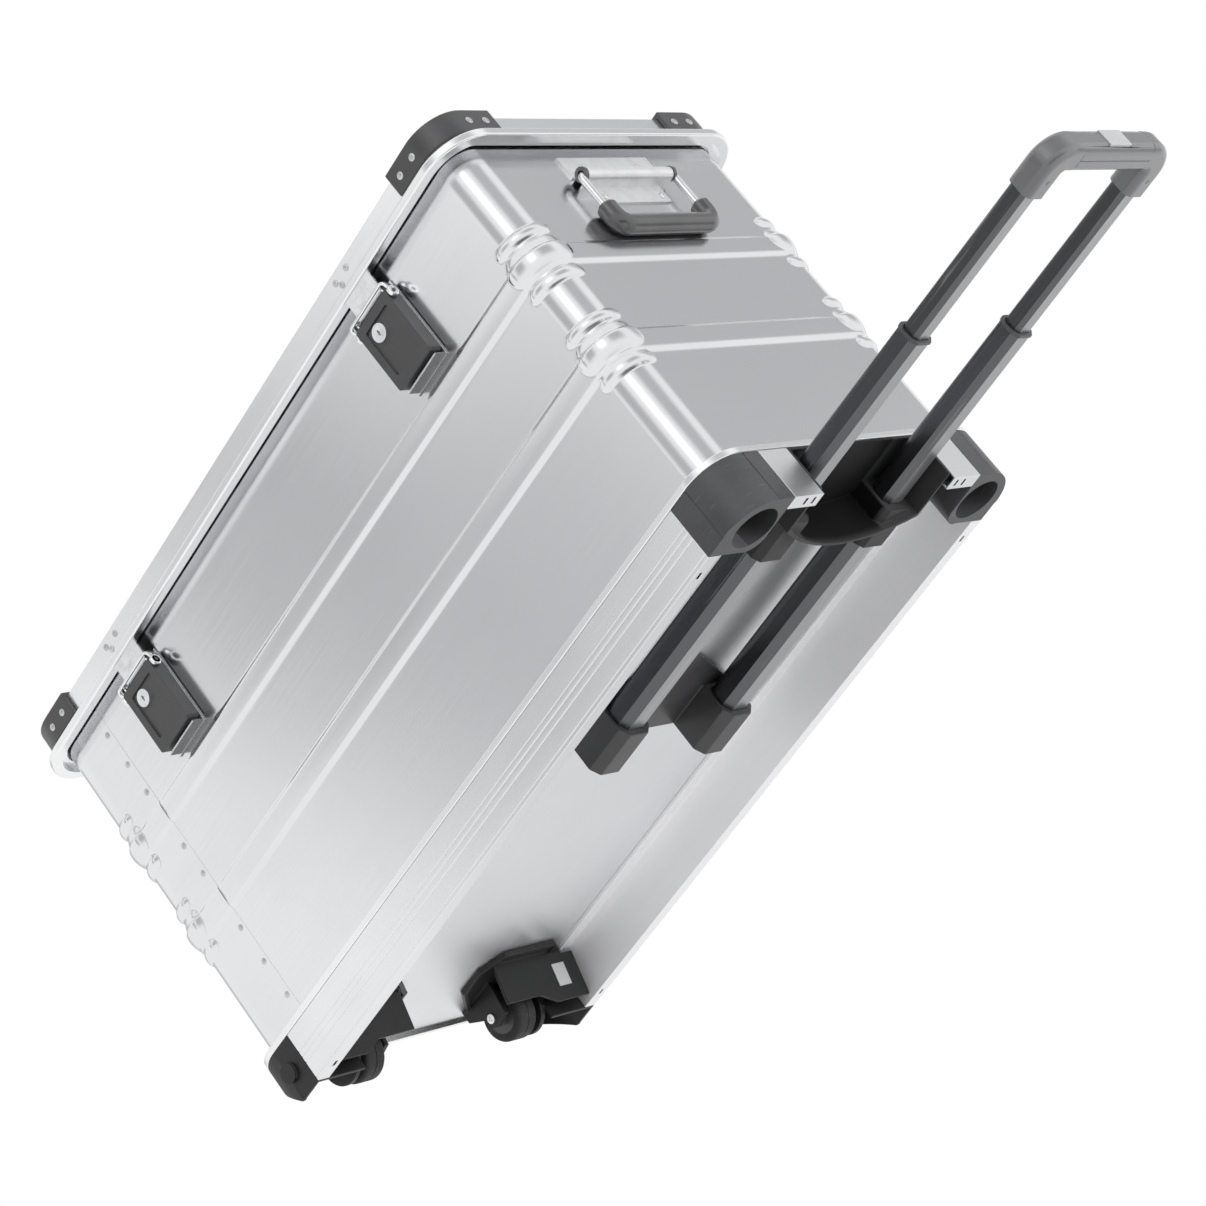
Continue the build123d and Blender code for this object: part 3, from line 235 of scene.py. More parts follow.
def sheet_metal(name, pale, deep, grain, low_gloss, high_gloss, smear=None, drawn=0.75, marks=1.0):
    """Rolled aluminium: fine lines along the grain, cloudy handling marks and a thin sheet's slight waves.

    drawn is how far reflections are smeared, and marks is the strength of lines, clouds and waves.
    """
    finish = Finish(name, metallic=1.0)
    lines = finish.noise(grain, LINE_DETAIL)
    clouds = finish.noise(CLOUD_REPEATS, CLOUD_DETAIL)
    tone = finish.tint(finish.span(clouds, *MIDDLE, 0.0, CLOUD_SHARE * marks), pale, deep)
    tone = finish.tint(finish.span(lines, *BROAD, 0.0, LINE_SHARE * marks), tone, deep)
    gloss = finish.combine("ADD", finish.span(clouds, *BROAD, low_gloss, high_gloss),
                           finish.span(lines, *MIDDLE, -LINE_GLOSS, LINE_GLOSS))
    waves = finish.noise(WAVE_REPEATS, WAVE_DETAIL, WAVE_SHIFT)
    finish.relief(waves, WAVE_DEPTH, WAVE_STRENGTH * marks)
    finish.relief(lines, LINE_DEPTH, LINE_STRENGTH * marks)
    if smear:
        finish.rolled(drawn, smear)
    return finish.done(tone, gloss)


# Zinc on pressed steel
SPOT_REPEATS = (90.0, 90.0, 90.0)
SPOT_DETAIL = 4.0
SPOT_BAND = (0.35, 0.7)
SPOT_DEPTH = 0.015
SPOT_STRENGTH = 0.3
RUB_REPEATS = (260.0, 30.0, 260.0)
RUB_DETAIL = 3.0
RUB_SHIFT = (0.3, 0.1, 0.9)
RUB_BAND = (0.4, 0.7)
RUB_GLOSS = 0.06
RUB_DEPTH = 0.01
RUB_STRENGTH = 0.4
# Normal ranges where the painted shade comes in on undersides and on edges that face along the case
PAINTED_SHADE_UNDERSIDE = (-0.8, -0.5)
PAINTED_SHADE_EDGE = (0.8, 0.95)


def steel(name, pale, deep, low_gloss, high_gloss, painted_shade=None):
    """Bright zinc with small spots and rub lines; the optional dark tone is painted shade on undersides and
    on edges that face along the case.
    """
    finish = Finish(name, metallic=1.0)
    spots = finish.noise(SPOT_REPEATS, SPOT_DETAIL)
    rubs = finish.noise(RUB_REPEATS, RUB_DETAIL, RUB_SHIFT)
    tone = finish.tint(finish.span(spots, *SPOT_BAND, 0.0, 1.0), pale, deep)
    # Painted shade: darker on undersides and on edges that face along the case
    if painted_shade:
        tone = finish.tint(finish.facing_down(*PAINTED_SHADE_UNDERSIDE), tone, painted_shade)
        tone = finish.tint(finish.facing_along(*PAINTED_SHADE_EDGE), tone, painted_shade)
    gloss = finish.combine("ADD", finish.span(spots, *MIDDLE, low_gloss, high_gloss),
                           finish.span(rubs, *RUB_BAND, 0.0, RUB_GLOSS))
    finish.relief(spots, SPOT_DEPTH, SPOT_STRENGTH)
    finish.relief(rubs, RUB_DEPTH, RUB_STRENGTH)
    return finish.done(tone, gloss)


# Dark anodised tube
TUBE_METALLIC = 0.85
DRAWN_REPEATS = (4.0, 420.0, 420.0)
DRAWN_DETAIL = 4.0
DRAWN_BAND = (0.4, 0.6)
DRAWN_GLOSS = (0.27, 0.4)
DRAWN_DEPTH = 0.015
DRAWN_STRENGTH = 0.6
WORN_REPEATS = (9.0, 160.0, 160.0)
WORN_DETAIL = 5.0
WORN_SHIFT = (1.0, 0.2, 0.6)
WORN_BAND = (0.6, 0.75)
WORN_SHARE = 0.5
WORN_PALER = 1.5
# Normal ranges over which the painted light on the lower edges and on the down-facing flat comes in
TUBE_PAINTED_LIGHT_EDGE = (-0.6, -0.35)
TUBE_PAINTED_LIGHT_FLAT = (-0.97, -0.9)


def tube_metal(name, dark, edge, flat):
    """Tube with drawn lines along it, with painted light that makes it paler on its lower edges and on the
    flat that faces down.
    """
    finish = Finish(name, metallic=TUBE_METALLIC)
    lines = finish.noise(DRAWN_REPEATS, DRAWN_DETAIL)
    wear_and_painted_light = finish.span(finish.noise(WORN_REPEATS, WORN_DETAIL, WORN_SHIFT), *WORN_BAND, 0.0, WORN_SHARE)
    worn_lines = finish.combine("MULTIPLY", wear_and_painted_light, finish.span(lines, *DRAWN_BAND, 0.0, 1.0))
    # Painted light: lower edges take the edge tone and the down-facing flat the flat tone
    tone = finish.tint(finish.facing_down(*TUBE_PAINTED_LIGHT_EDGE), dark, edge)
    tone = finish.tint(finish.facing_down(*TUBE_PAINTED_LIGHT_FLAT), tone, flat)
    tone = finish.tint(worn_lines, tone, tuple(WORN_PALER * c for c in flat))
    gloss = finish.span(lines, *MIDDLE, *DRAWN_GLOSS)
    finish.relief(lines, DRAWN_DEPTH, DRAWN_STRENGTH)
    return finish.done(tone, gloss)


# Moulded plastic
GRAIN_REPEATS = (1500.0, 1500.0, 1500.0)
GRAIN_DEPTH = 0.05
GRAIN_STRENGTH = 0.35
FLOW_REPEATS = (22.0, 22.0, 22.0)
FLOW_DETAIL = 4.0
FLOW_SHARE = 0.3
FLOW_DEPTH = 0.2
FLOW_STRENGTH = 0.15
SCUFF_REPEATS = (45.0, 45.0, 420.0)
SCUFF_DETAIL = 6.0
SCUFF_SHIFT = (2.2, 0.9, 0.1)
SCUFF_BAND = 0.14
SCUFF_SHARE = 0.8
SCUFF_GLOSS = 0.1
RIB_REPEATS = (2.0, 2.0, 210.0)
RIB_DETAIL = 1.0
RIB_STRENGTH = 0.6
# Heights and distances across between which the painted light on the lower edge and outer parts comes in
PAINTED_LIGHT_BELOW = (4.0, 15.0)
PAINTED_LIGHT_ASIDE = (54.0, 58.0)
COAT_ROUGHNESS = 0.15
COAT_IOR = 1.6
# Radius, painted shade and places of the screw holes painted on the grip's sleeves
SCREW_HOLE = 2.6
HOLE_PAINTED_SHADE = (0.004, 0.004, 0.004)
GRIP_HOLES = ((764.3, -75.0, 20.0), (764.3, 75.0, 20.0))


def moulded(name, dark, scuffed, low_gloss, high_gloss, scuff_start=0.66, ior=1.5, coat=0.0, painted_light_tone=None,
            ribs=0.0, holes=()):
    """Moulded plastic with a fine spark-eroded grain, faint flow clouds and pale scuffs.

    An optional lighter tone is painted light on the lower edge and the outer parts, beside the shaded middle;
    ribs is the depth of level lines; holes are the places of screw holes painted as spots of painted shade.
    """
    finish = Finish(name, metallic=0.0)
    finish.bsdf.inputs["IOR"].default_value = ior
    finish.bsdf.inputs["Coat Weight"].default_value = coat
    finish.bsdf.inputs["Coat Roughness"].default_value = COAT_ROUGHNESS
    finish.bsdf.inputs["Coat IOR"].default_value = COAT_IOR
    grain = finish.pits(GRAIN_REPEATS)
    clouds = finish.noise(FLOW_REPEATS, FLOW_DETAIL)
    scuffs = finish.span(finish.noise(SCUFF_REPEATS, SCUFF_DETAIL, SCUFF_SHIFT),
                         scuff_start, scuff_start + SCUFF_BAND, 0.0, SCUFF_SHARE)
    tone = finish.tint(finish.span(clouds, *MIDDLE, 0.0, FLOW_SHARE), dark, scuffed)
    tone = finish.tint(scuffs, tone, scuffed)
    # Painted light: a lighter tone on the lower edge and away from the middle plane, the middle left dark as
    # painted shade
    if painted_light_tone:
        wear_and_painted_light = finish.combine("MAXIMUM", finish.below(*PAINTED_LIGHT_BELOW), finish.aside(*PAINTED_LIGHT_ASIDE))
        tone = finish.tint(wear_and_painted_light, tone, painted_light_tone)
    # Screw holes are painted as dark spots of painted shade, with no recess in the mesh
    for place in holes:
        tone = finish.tint(finish.spot(place, SCREW_HOLE), tone, HOLE_PAINTED_SHADE)
    gloss = finish.combine("ADD", finish.span(clouds, *MIDDLE, low_gloss, high_gloss),
                           finish.span(scuffs, 0.0, SCUFF_SHARE, 0.0, SCUFF_GLOSS))
    finish.relief(grain, GRAIN_DEPTH, GRAIN_STRENGTH)
    finish.relief(clouds, FLOW_DEPTH, FLOW_STRENGTH)
    if ribs:
        finish.relief(finish.noise(RIB_REPEATS, RIB_DETAIL), ribs, RIB_STRENGTH)
    return finish.done(tone, gloss)


# Soft rubber
RUBBER_SPECULAR = 0.35
RUBBER_REPEATS = (700.0, 700.0, 700.0)
RUBBER_DETAIL = 3.0
RUBBER_GLOSS = (0.62, 0.82)
RUBBER_DEPTH = 0.06
RUBBER_STRENGTH = 0.5
DUST_REPEATS = (60.0, 60.0, 60.0)
DUST_DETAIL = 5.0
DUST_SHIFT = (0.4, 1.1, 2.0)
DUST_BAND = (0.5, 0.72)
DUST_SHARE = 0.7


def rubber(name, dark, dusty):
    """Soft rubber with a matt bloom and road dust."""
    finish = Finish(name, metallic=0.0, specular=RUBBER_SPECULAR)
    grain = finish.noise(RUBBER_REPEATS, RUBBER_DETAIL)
    dust = finish.span(finish.noise(DUST_REPEATS, DUST_DETAIL, DUST_SHIFT), *DUST_BAND, 0.0, DUST_SHARE)
    tone = finish.tint(dust, dark, dusty)
    gloss = finish.span(grain, *MIDDLE, *RUBBER_GLOSS)
    finish.relief(grain, RUBBER_DEPTH, RUBBER_STRENGTH)
    return finish.done(tone, gloss)


# Directions across the rolling lines
UPRIGHT = (0.0, 0.0, 1.0)
CROSSWISE = (0.0, 1.0, 0.0)
ROUND_RAIL = (0.0, 1.0, 0.55)

wall_metal = sheet_metal("wall_sheet", pale=(0.79, 0.795, 0.81), deep=(0.72, 0.725, 0.742),
                         grain=(5.0, 5.0, 620.0), low_gloss=0.17, high_gloss=0.21,
                         smear=UPRIGHT, drawn=0.35, marks=0.45)
panel_metal = sheet_metal("panel_sheet", pale=(0.81, 0.815, 0.83), deep=(0.75, 0.755, 0.77),
                          grain=(5.0, 520.0, 5.0), low_gloss=0.34, high_gloss=0.42,
                          smear=CROSSWISE, drawn=0.5)
plain_metal = sheet_metal("plain_profile", pale=(0.83, 0.835, 0.845), deep=(0.77, 0.775, 0.79),
                          grain=(9.0, 9.0, 500.0), low_gloss=0.34, high_gloss=0.44)
rim_metal = sheet_metal("rim_profile", pale=(0.9, 0.905, 0.91), deep=(0.85, 0.855, 0.865),
                        grain=(6.0, 6.0, 900.0), low_gloss=0.2, high_gloss=0.28)
rail_metal = sheet_metal("rail_profile", pale=(0.83, 0.835, 0.845), deep=(0.76, 0.765, 0.78),
                         grain=(6.0, 700.0, 900.0), low_gloss=0.2, high_gloss=0.28, smear=ROUND_RAIL)
dull_metal = sheet_metal("dull_profile", pale=(0.92, 0.922, 0.93), deep=(0.88, 0.882, 0.89),
                         grain=(5.0, 500.0, 500.0), low_gloss=0.6, high_gloss=0.7)
rivet_metal = steel("rivet_aluminium", pale=(0.6, 0.605, 0.615), deep=(0.48, 0.485, 0.495),
                    low_gloss=0.22, high_gloss=0.3)
bright_metal = steel("bright_zinc", pale=(0.86, 0.865, 0.875), deep=(0.76, 0.77, 0.785),
                     low_gloss=0.16, high_gloss=0.24)
# The latch's dark tone is painted shade on its undersides and on its edges facing along the case
latch_metal = steel("latch_zinc", pale=(0.84, 0.845, 0.855), deep=(0.76, 0.77, 0.785),
                    low_gloss=0.2, high_gloss=0.28, painted_shade=(0.17, 0.172, 0.178))
plate_metal = steel("carry_plate_zinc", pale=(0.92, 0.922, 0.93), deep=(0.86, 0.865, 0.875),
                    low_gloss=0.42, high_gloss=0.5)
# edge and flat are painted light tones for the tube's lower edges and its down-facing flat
dark_tube = tube_metal("dark_anodised", dark=(0.07, 0.072, 0.077), edge=(0.125, 0.128, 0.135),
                       flat=(0.4, 0.405, 0.415))
black_plastic = moulded("black_moulded", dark=(0.06, 0.0605, 0.062), scuffed=(0.1, 0.101, 0.104),
                        low_gloss=0.3, high_gloss=0.42, ior=1.6)
dim_plastic = moulded("bracket_moulded", dark=(0.036, 0.0365, 0.038), scuffed=(0.07, 0.071, 0.074),
                      low_gloss=0.32, high_gloss=0.44, ior=1.6)
gloss_plastic = moulded("carry_grip_moulded", dark=(0.06, 0.0605, 0.062), scuffed=(0.1, 0.101, 0.104),
                        low_gloss=0.18, high_gloss=0.25, ior=1.6, coat=0.6)
# Black moulding made darker than the other mouldings: its deeper black is painted shade for the wheel
# housings
housing_plastic_shaded = moulded("housing_moulded", dark=(0.012, 0.0122, 0.0127), scuffed=(0.03, 0.0305, 0.031),
                          low_gloss=0.4, high_gloss=0.52, ior=1.45)
# The cup's very dark tone is painted shade in its hollow, and its lighter tone is painted light on its lip
# and outer parts
cup_plastic = moulded("cup_moulded", dark=(0.004, 0.0041, 0.0044), scuffed=(0.012, 0.0122, 0.0125),
                      low_gloss=0.5, high_gloss=0.62, scuff_start=0.7, ior=1.35, painted_light_tone=(0.05, 0.0505, 0.052))
foot_plastic = moulded("foot_moulded", dark=(0.06, 0.061, 0.063), scuffed=(0.13, 0.132, 0.135),
                       low_gloss=0.4, high_gloss=0.52, scuff_start=0.6, ior=1.55, ribs=0.5)
grip_plastic = moulded("grip_moulded", dark=(0.125, 0.127, 0.132), scuffed=(0.18, 0.182, 0.187),
                       low_gloss=0.28, high_gloss=0.36, scuff_start=0.68, ior=1.7, coat=0.8, holes=GRIP_HOLES)
grey_plastic = moulded("grey_moulded", dark=(0.52, 0.525, 0.535), scuffed=(0.66, 0.665, 0.67),
                       low_gloss=0.32, high_gloss=0.45)
seal_rubber = rubber("seal_rubber", dark=(0.022, 0.022, 0.023), dusty=(0.05, 0.05, 0.05))
tyre_rubber = rubber("tyre_rubber", dark=(0.036, 0.036, 0.037), dusty=(0.1, 0.098, 0.094))

slot_material = {
    "aluminium_sheet": panel_metal,
    "aluminium_profile": rail_metal,
    "bright_steel": bright_metal,
    "dark_tube": dark_tube,
    "black_plastic": black_plastic,
    "grey_plastic": grey_plastic,
    "black_rubber": seal_rubber,
    "tyre_rubber": tyre_rubber,
}


# Mesh helpers

# Largest share of a straight run that the rounding of one of its ends may take
CORNER_SHARE = 0.499
NEAR_UPRIGHT = 0.9
# Edges turned further than this are rounded, if they are longer than so many times the rounding
SOFT_ANGLE = 28.0
SOFT_ROOM = 2.1
# Edges turned further than this are shaded as sharp
SHARP_SHADING = 38.0
# Points nearer than MERGE are joined, and faces turned less than FLAT_ANGLE are one flat face
MERGE = 0.01
FLAT_ANGLE = 0.6


def bent(corners, radius, steps):
    """Points along straight runs between corners, with every corner between two runs rounded."""
    corners = [Vector(corner) for corner in corners]
    points = [corners[0]]
    for before, corner, after in zip(corners, corners[1:], corners[2:]):
        back = before - corner
        on = after - corner
        half = back.angle(on) / 2.0
        reach = min(radius / math.tan(half), CORNER_SHARE * back.length, CORNER_SHARE * on.length)
        inward = (back.normalized() + on.normalized()).normalized()
        middle = corner + inward * (reach / math.cos(half))
        start = corner + back.normalized() * reach - middle
        stop = corner + on.normalized() * reach - middle
        for step in range(steps + 1):
            turned = start.normalized().slerp(stop.normalized(), step / steps)
            points.append(middle + turned * start.length)
    points.append(corners[-1])
    return points


def across(axis):
    """Two directions at right angles to axis and to each other."""
    axis = Vector(axis).normalized()
    side = Vector((0.0, 0.0, 1.0)) if abs(axis.z) < NEAR_UPRIGHT else Vector((1.0, 0.0, 0.0))
    first = axis.cross(side).normalized()
    return first, axis.cross(first)


def circle(centre, first, second, radius, sides):
    """Points of a circle in the plane of two directions."""
    turns = [2.0 * math.pi * k / sides for k in range(sides)]
    return [centre + (first * math.cos(a) + second * math.sin(a)) * radius for a in turns]


class Shape:
    """Points and faces of one piece while it is being built."""

    def __init__(self):
        self.points = []
        self.faces = []

    def grid(self, rows, closed_rows=False, closed_columns=False):
        """Joins rows of equal length with four-sided faces; returns the number of the first point."""
        first = len(self.points)
        count = len(rows[0])
        for row in rows:
            self.points.extend(tuple(point) for point in row)
        row_spans = len(rows) if closed_columns else len(rows) - 1
        spans = count if closed_rows else count - 1
        for r in range(row_spans):
            here = first + r * count
            there = first + (r + 1) % len(rows) * count
            for k in range(spans):
                n = (k + 1) % count
                self.faces.append((here + k, here + n, there + n, there + k))
        return first

    def loft(self, rings):
        """Closed rings skinned into a solid with flat ends."""
        first = self.grid(rings, closed_rows=True)
        count = len(rings[0])
        last = first + (len(rings) - 1) * count
        self.faces.append(tuple(range(first, first + count)))
        self.faces.append(tuple(range(last, last + count)))

    def turned(self, profile, centre, axis, sides, hollow=False):
        """Solid of revolution; profile holds (radius, distance along axis). A hollow one is a ring."""
        axis = Vector(axis).normalized()
        first, second = across(axis)
        rings = [circle(Vector(centre) + axis * along, first, second, radius, sides)
                 for radius, along in profile]
        if hollow:
            self.grid(rings, closed_rows=True, closed_columns=True)
        else:
            self.loft(rings)

    def rod(self, path, radii, sides):
        """Round rod along a path; radii holds one radius for each point."""
        rings = []
        side = None
        for k, point in enumerate(path):
            ahead = path[min(k + 1, len(path) - 1)] - path[max(k - 1, 0)]
            ahead.normalize()
            side = across(ahead)[0] if side is None else (side - ahead * side.dot(ahead)).normalized()
            rings.append(circle(point, side, ahead.cross(side), radii[k], sides))
        self.loft(rings)

    def block(self, low, high):
        """Six-sided block between two corners."""
        (x0, y0, z0), (x1, y1, z1) = low, high
        self.loft([[(x0, y0, z), (x1, y0, z), (x1, y1, z), (x0, y1, z)] for z in (z0, z1)])

    def mesh(self, bm=None):
        """Mesh of the shape, added to one that is there already if it is given."""
        bm = bm or bmesh.new()
        verts = [bm.verts.new(((x + CASE_X) * MM, y * MM, z * MM)) for x, y, z in self.points]
        for face in self.faces:
            bm.faces.new([verts[k] for k in face])
        return bm


def put(bm, name, replaced, material, soften=0.0, steps=2, sharp=SOFT_ANGLE):
    """Makes a bmesh a piece that rides on a body and stands for the CAD nodes it replaces."""
    if soften:
        edges = [e for e in bm.edges if e.is_manifold and e.calc_face_angle() > rad(sharp)
                 and e.calc_length() > SOFT_ROOM * soften * MM]
        bmesh.ops.bevel(bm, geom=edges, offset=soften * MM, offset_type="OFFSET", segments=steps,
                        profile=0.5, affect="EDGES", clamp_overlap=False)
    bmesh.ops.recalc_face_normals(bm, faces=bm.faces)
    mesh = bpy.data.meshes.new(name)
    bm.to_mesh(mesh)
    bm.free()
    mesh.shade_smooth()
    mesh.set_sharp_from_angle(angle=rad(SHARP_SHADING))
    mesh.materials.append(material)
    piece = bpy.data.objects.new(name, mesh)
    bpy.context.scene.collection.objects.link(piece)
    even = piece.modifiers.new("even_shading", "WEIGHTED_NORMAL")
    even.keep_sharp = True
    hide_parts(*replaced)
    body = body_of(nodes[replaced[0]])[0]
    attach(piece, body)


def merged(node):
    """CAD node's mesh with its points joined up."""
    bm = bmesh.new()
    bm.from_mesh(nodes[node].data)
    bmesh.ops.remove_doubles(bm, verts=bm.verts, dist=MERGE * MM)
    return bm


def copied(node):
    """CAD node's mesh with its flat faces joined up."""
    bm = merged(node)
    bmesh.ops.dissolve_limit(bm, angle_limit=rad(FLAT_ANGLE), verts=bm.verts, edges=bm.edges,
                             use_dissolve_boundaries=False)
    return bm


def softened(node, ending, material, soften, steps=2, sharp=SOFT_ANGLE):
    """CAD node with its sharp edges rounded."""
    put(copied(node), node + ending, [node], material, soften, steps, sharp)


def islands(node):
    """Centre and half size of each separate solid in a group of small fasteners."""
    bm = merged(node)
    reached = set()
    found = []
    for first in bm.verts:
        if first in reached:
            continue
        reached.add(first)
        stack = [first]
        members = []
        while stack:
            vert = stack.pop()
            members.append(vert.co / MM - Vector((CASE_X, 0.0, 0.0)))
            for edge in vert.link_edges:
                other = edge.other_vert(vert)
                if other not in reached:
                    reached.add(other)
                    stack.append(other)
        low = Vector(map(min, zip(*members)))
        high = Vector(map(max, zip(*members)))
        found.append(((low + high) / 2.0, (high - low) / 2.0))
    bm.free()
    return found


# Rivet heads, with radii and heights as shares of the CAD head's
FOOT_RADIUS = 0.98
EDGE_HEIGHT = 0.12
DOME_RADIUS = 0.97
DOME_FOOT = 0.3
DOME_SHARE = 0.7
DOME_START = 18.0
DOME_TURNS = (25.0, 40.0, 55.0, 70.0, 82.0)
DOME_RISE = 0.681
RIVET_SIDES = 24


def domed_rivets(node, material):
    """Domed heads in the places of a CAD group of rivets, each facing away from the case."""
    shape = Shape()
    for centre, half in islands(node):
        along = min(range(3), key=lambda k: half[k])
        axis = Vector((0.0, 0.0, 0.0))
        axis[along] = math.copysign(1.0, centre[along])
        radius = max(half)
        height = 2.0 * half[along]
        base = centre - axis * half[along]
        profile = [(radius * FOOT_RADIUS, 0.0), (radius, EDGE_HEIGHT * height),
                   (radius * DOME_RADIUS, DOME_FOOT * height)]
        for turn in DOME_TURNS:
            rise = math.sin(rad(turn)) - math.sin(rad(DOME_START))
            profile.append((radius * DOME_RADIUS * math.cos(rad(turn)) / math.cos(rad(DOME_START)),
                            height * (DOME_FOOT + DOME_SHARE * rise / DOME_RISE)))
        shape.turned(profile, base, axis, RIVET_SIDES)
    put(shape.mesh(), node + "_domed", [node], material)


# Case walls

WALL_X = 414.0
WALL_Y = 187.0
WALL_CORNER = 30.0
WALL_LOW = 62.0
WALL_HIGH = 464.0
SHEET = 1.5
SEAM_X = -331.0
SEAM_GAP = 0.2
LAP_BACK = 14.0
LAP_FRONT = 8.0
LAP_LOW = 71.0
LAP_HIGH = 451.0
LAP_GAP = 0.05

BEAD_LOWS = (191.0, 303.0)
BEAD_HIGHS = (222.0, 332.0)
BEAD_PROUD = 2.5
BEAD_LOWER_SLOPE = 7.5
BEAD_UPPER_SLOPE = 3.0
BEAD_CROWN = 0.25
BEAD_SOFTENING = (-0.9, -0.45, 0.0, 0.45, 0.9)

# Each fold is its height over the bead's upper edge, half its height, how far it stands out and its reach
CORNER_RIDGES = ((19.0, 6.8, 3.2, 1.0), (-6.0, 16.3, 4.0, 1.3), (-35.0, 7.8, 3.2, 1.0))
RIDGE_REACH_LONG = 9.0
RIDGE_REACH_END = 11.0

# Cuts across the walls: from the seam, along the plain run, up to the corner's curve, in it and after it
SEAM_CUTS = (0.0, 0.5, 6.0, 20.0)
PLAIN_CUT = 60.0
PLAIN_MARGIN = 24.0
LONG_CUTS = (16.0, 13.0, 11.7, 10.8, 10.0, 9.0, 8.4, 7.5, 6.5, 5.5, 4.5, 3.5, 2.5, 1.5, 0.7)
CURVE_CUTS = 24
END_CUTS = (0.8, 2.0, 3.5, 5.0, 6.5, 8.0, 9.0, 10.0, 11.0, 12.0, 13.0, 13.7, 14.3, 16.0, 24.0, 60.0, 110.0)

# Rows up the walls, fine over the two groups of folds and coarse between them
EDGE_ROW = 1.0
LOWER_ROWS = (100.0, 140.0)
UPPER_ROWS = (400.0, 430.0)
FOLDS_LOW = 172.0
FOLDS_HIGH = 372.0
BETWEEN_LOW = 248.0
BETWEEN_HIGH = 282.0
FINE_ROW = 1.2
COARSE_ROW = 4.0

# Extra gap at the seam where a bead runs into it
GAP_WIDTH = 2.2
GAP_RAISED = 8.0
GAP_REACH = 11.0
GAP_FLAT = 1.25


def bead_height(z):
    """How far the two pressed beads stand out of the flat wall."""
    total = 0.0
    for low, high in zip(BEAD_LOWS, BEAD_HIGHS):
        rise = smooth_step((z - low) / BEAD_LOWER_SLOPE)
        fall = min(max((high - z) / BEAD_UPPER_SLOPE, 0.0), 1.0)
        crown = 1.0 - BEAD_CROWN * (2.0 * (z - low) / (high - low) - 1.0) ** 2
        total += BEAD_PROUD * crown * min(rise, fall)
    return total


def soft_bead_height(z):
    return sum(bead_height(z + d) for d in BEAD_SOFTENING) / len(BEAD_SOFTENING)


def corner_height(z, away, reach):
    """Folds pressed into the rounded corners; away is the distance from where the corner's curve ends."""
    highest = 0.0
    for bead in BEAD_HIGHS:
        for offset, half, height, longer in CORNER_RIDGES:
            inside = 1.0 - ((z - bead - offset) / half) ** 2 - (away / (longer * reach)) ** 2
            if inside > 0.0:
                highest = max(highest, height * inside)
    return highest


def wall_stations(seam):
    """Plan of a sheet from its front seam round the end on the side of +x to its back seam.

    Each station is x, y, the direction out, the distance from the corner's curve and the reach of the folds.
    """
    tangent_x = WALL_X - WALL_CORNER
    tangent_y = WALL_Y - WALL_CORNER
    run = tangent_x - seam
    flats = list(SEAM_CUTS)
    far = PLAIN_CUT
    while far < run - PLAIN_MARGIN:
        flats.append(far)
        far += PLAIN_CUT
    flats += [run - d for d in LONG_CUTS]
    half = [(seam + d, -WALL_Y, 0.0, -1.0, run - d, RIDGE_REACH_LONG) for d in flats]
    for k in range(CURVE_CUTS + 1):
        a = rad(90.0 * k / CURVE_CUTS)
        half.append((tangent_x + WALL_CORNER * math.sin(a), -tangent_y - WALL_CORNER * math.cos(a),
                     math.sin(a), -math.cos(a), 0.0, RIDGE_REACH_END))
    for d in END_CUTS:
        half.append((WALL_X, -tangent_y + d, 1.0, 0.0, d, RIDGE_REACH_END))
    mirrored = [(x, -y, nx, -ny, away, reach) for x, y, nx, ny, away, reach in reversed(half)]
    return half + mirrored


def wall_levels():
    """Heights at which the wall is cut into rows."""
    levels = [WALL_LOW, WALL_LOW + EDGE_ROW, *LOWER_ROWS]
    z = FOLDS_LOW
    while z < FOLDS_HIGH:
        levels.append(z)
        z += FINE_ROW if (z < BETWEEN_LOW or z > BETWEEN_HIGH) else COARSE_ROW
    return levels + [*UPPER_ROWS, WALL_HIGH - EDGE_ROW, WALL_HIGH]


def seam_opening(z):
    """Extra gap at the seam at a height."""
    opening = 0.0
    for low, high in zip(BEAD_LOWS, BEAD_HIGHS):
        middle = (low + GAP_RAISED + high) / 2.0
        opening = max(opening, GAP_WIDTH * smooth_step(GAP_FLAT - abs(z - middle) / GAP_REACH))
    return opening


def wall_sheet(name, node, seam, flip):
    """One bent sheet of the wall, with its beads, corner folds and thickness."""
    levels = wall_levels()
    inner_levels = levels[::2]
    if inner_levels[-1] != levels[-1]:
        inner_levels.append(levels[-1])
    stations = wall_stations(seam)
    shape = Shape()
    rings = []
    for k, (x, y, nx, ny, away, reach) in enumerate(stations):
        at_seam = k in (0, len(stations) - 1)
        ring = []
        for heights, depth in ((levels, 0.0), (reversed(inner_levels), SHEET)):
            for z in heights:
                out = soft_bead_height(z) + corner_height(z, away, reach) - depth
                shift = seam_opening(z) if at_seam and not flip else 0.0
                px = (x + shift + nx * out) * (-1.0 if flip else 1.0)
                ring.append((px, y + ny * out, z))
        rings.append(ring)
    shape.loft(rings)
    if not flip:
        for side in (-1.0, 1.0):
            outer, inner = side * (WALL_Y - SHEET - LAP_GAP), side * (WALL_Y - 2.0 * SHEET)
            shape.loft([[(x, outer, LAP_LOW), (x, outer, LAP_HIGH), (x, inner, LAP_HIGH), (x, inner, LAP_LOW)]
                        for x in (seam - LAP_BACK, seam + LAP_FRONT)])
    put(shape.mesh(), name, [node], wall_metal)


wall_sheet("body_wrap_pressed", "body_wrap", SEAM_X, False)
wall_sheet("wheel_end_pressed", "wheel_end_sheet", -SEAM_X + SEAM_GAP, True)


# Lid frame and base band, each a profile run round the walls. Profiles are (distance out, height).

PLAN_STEPS = 14

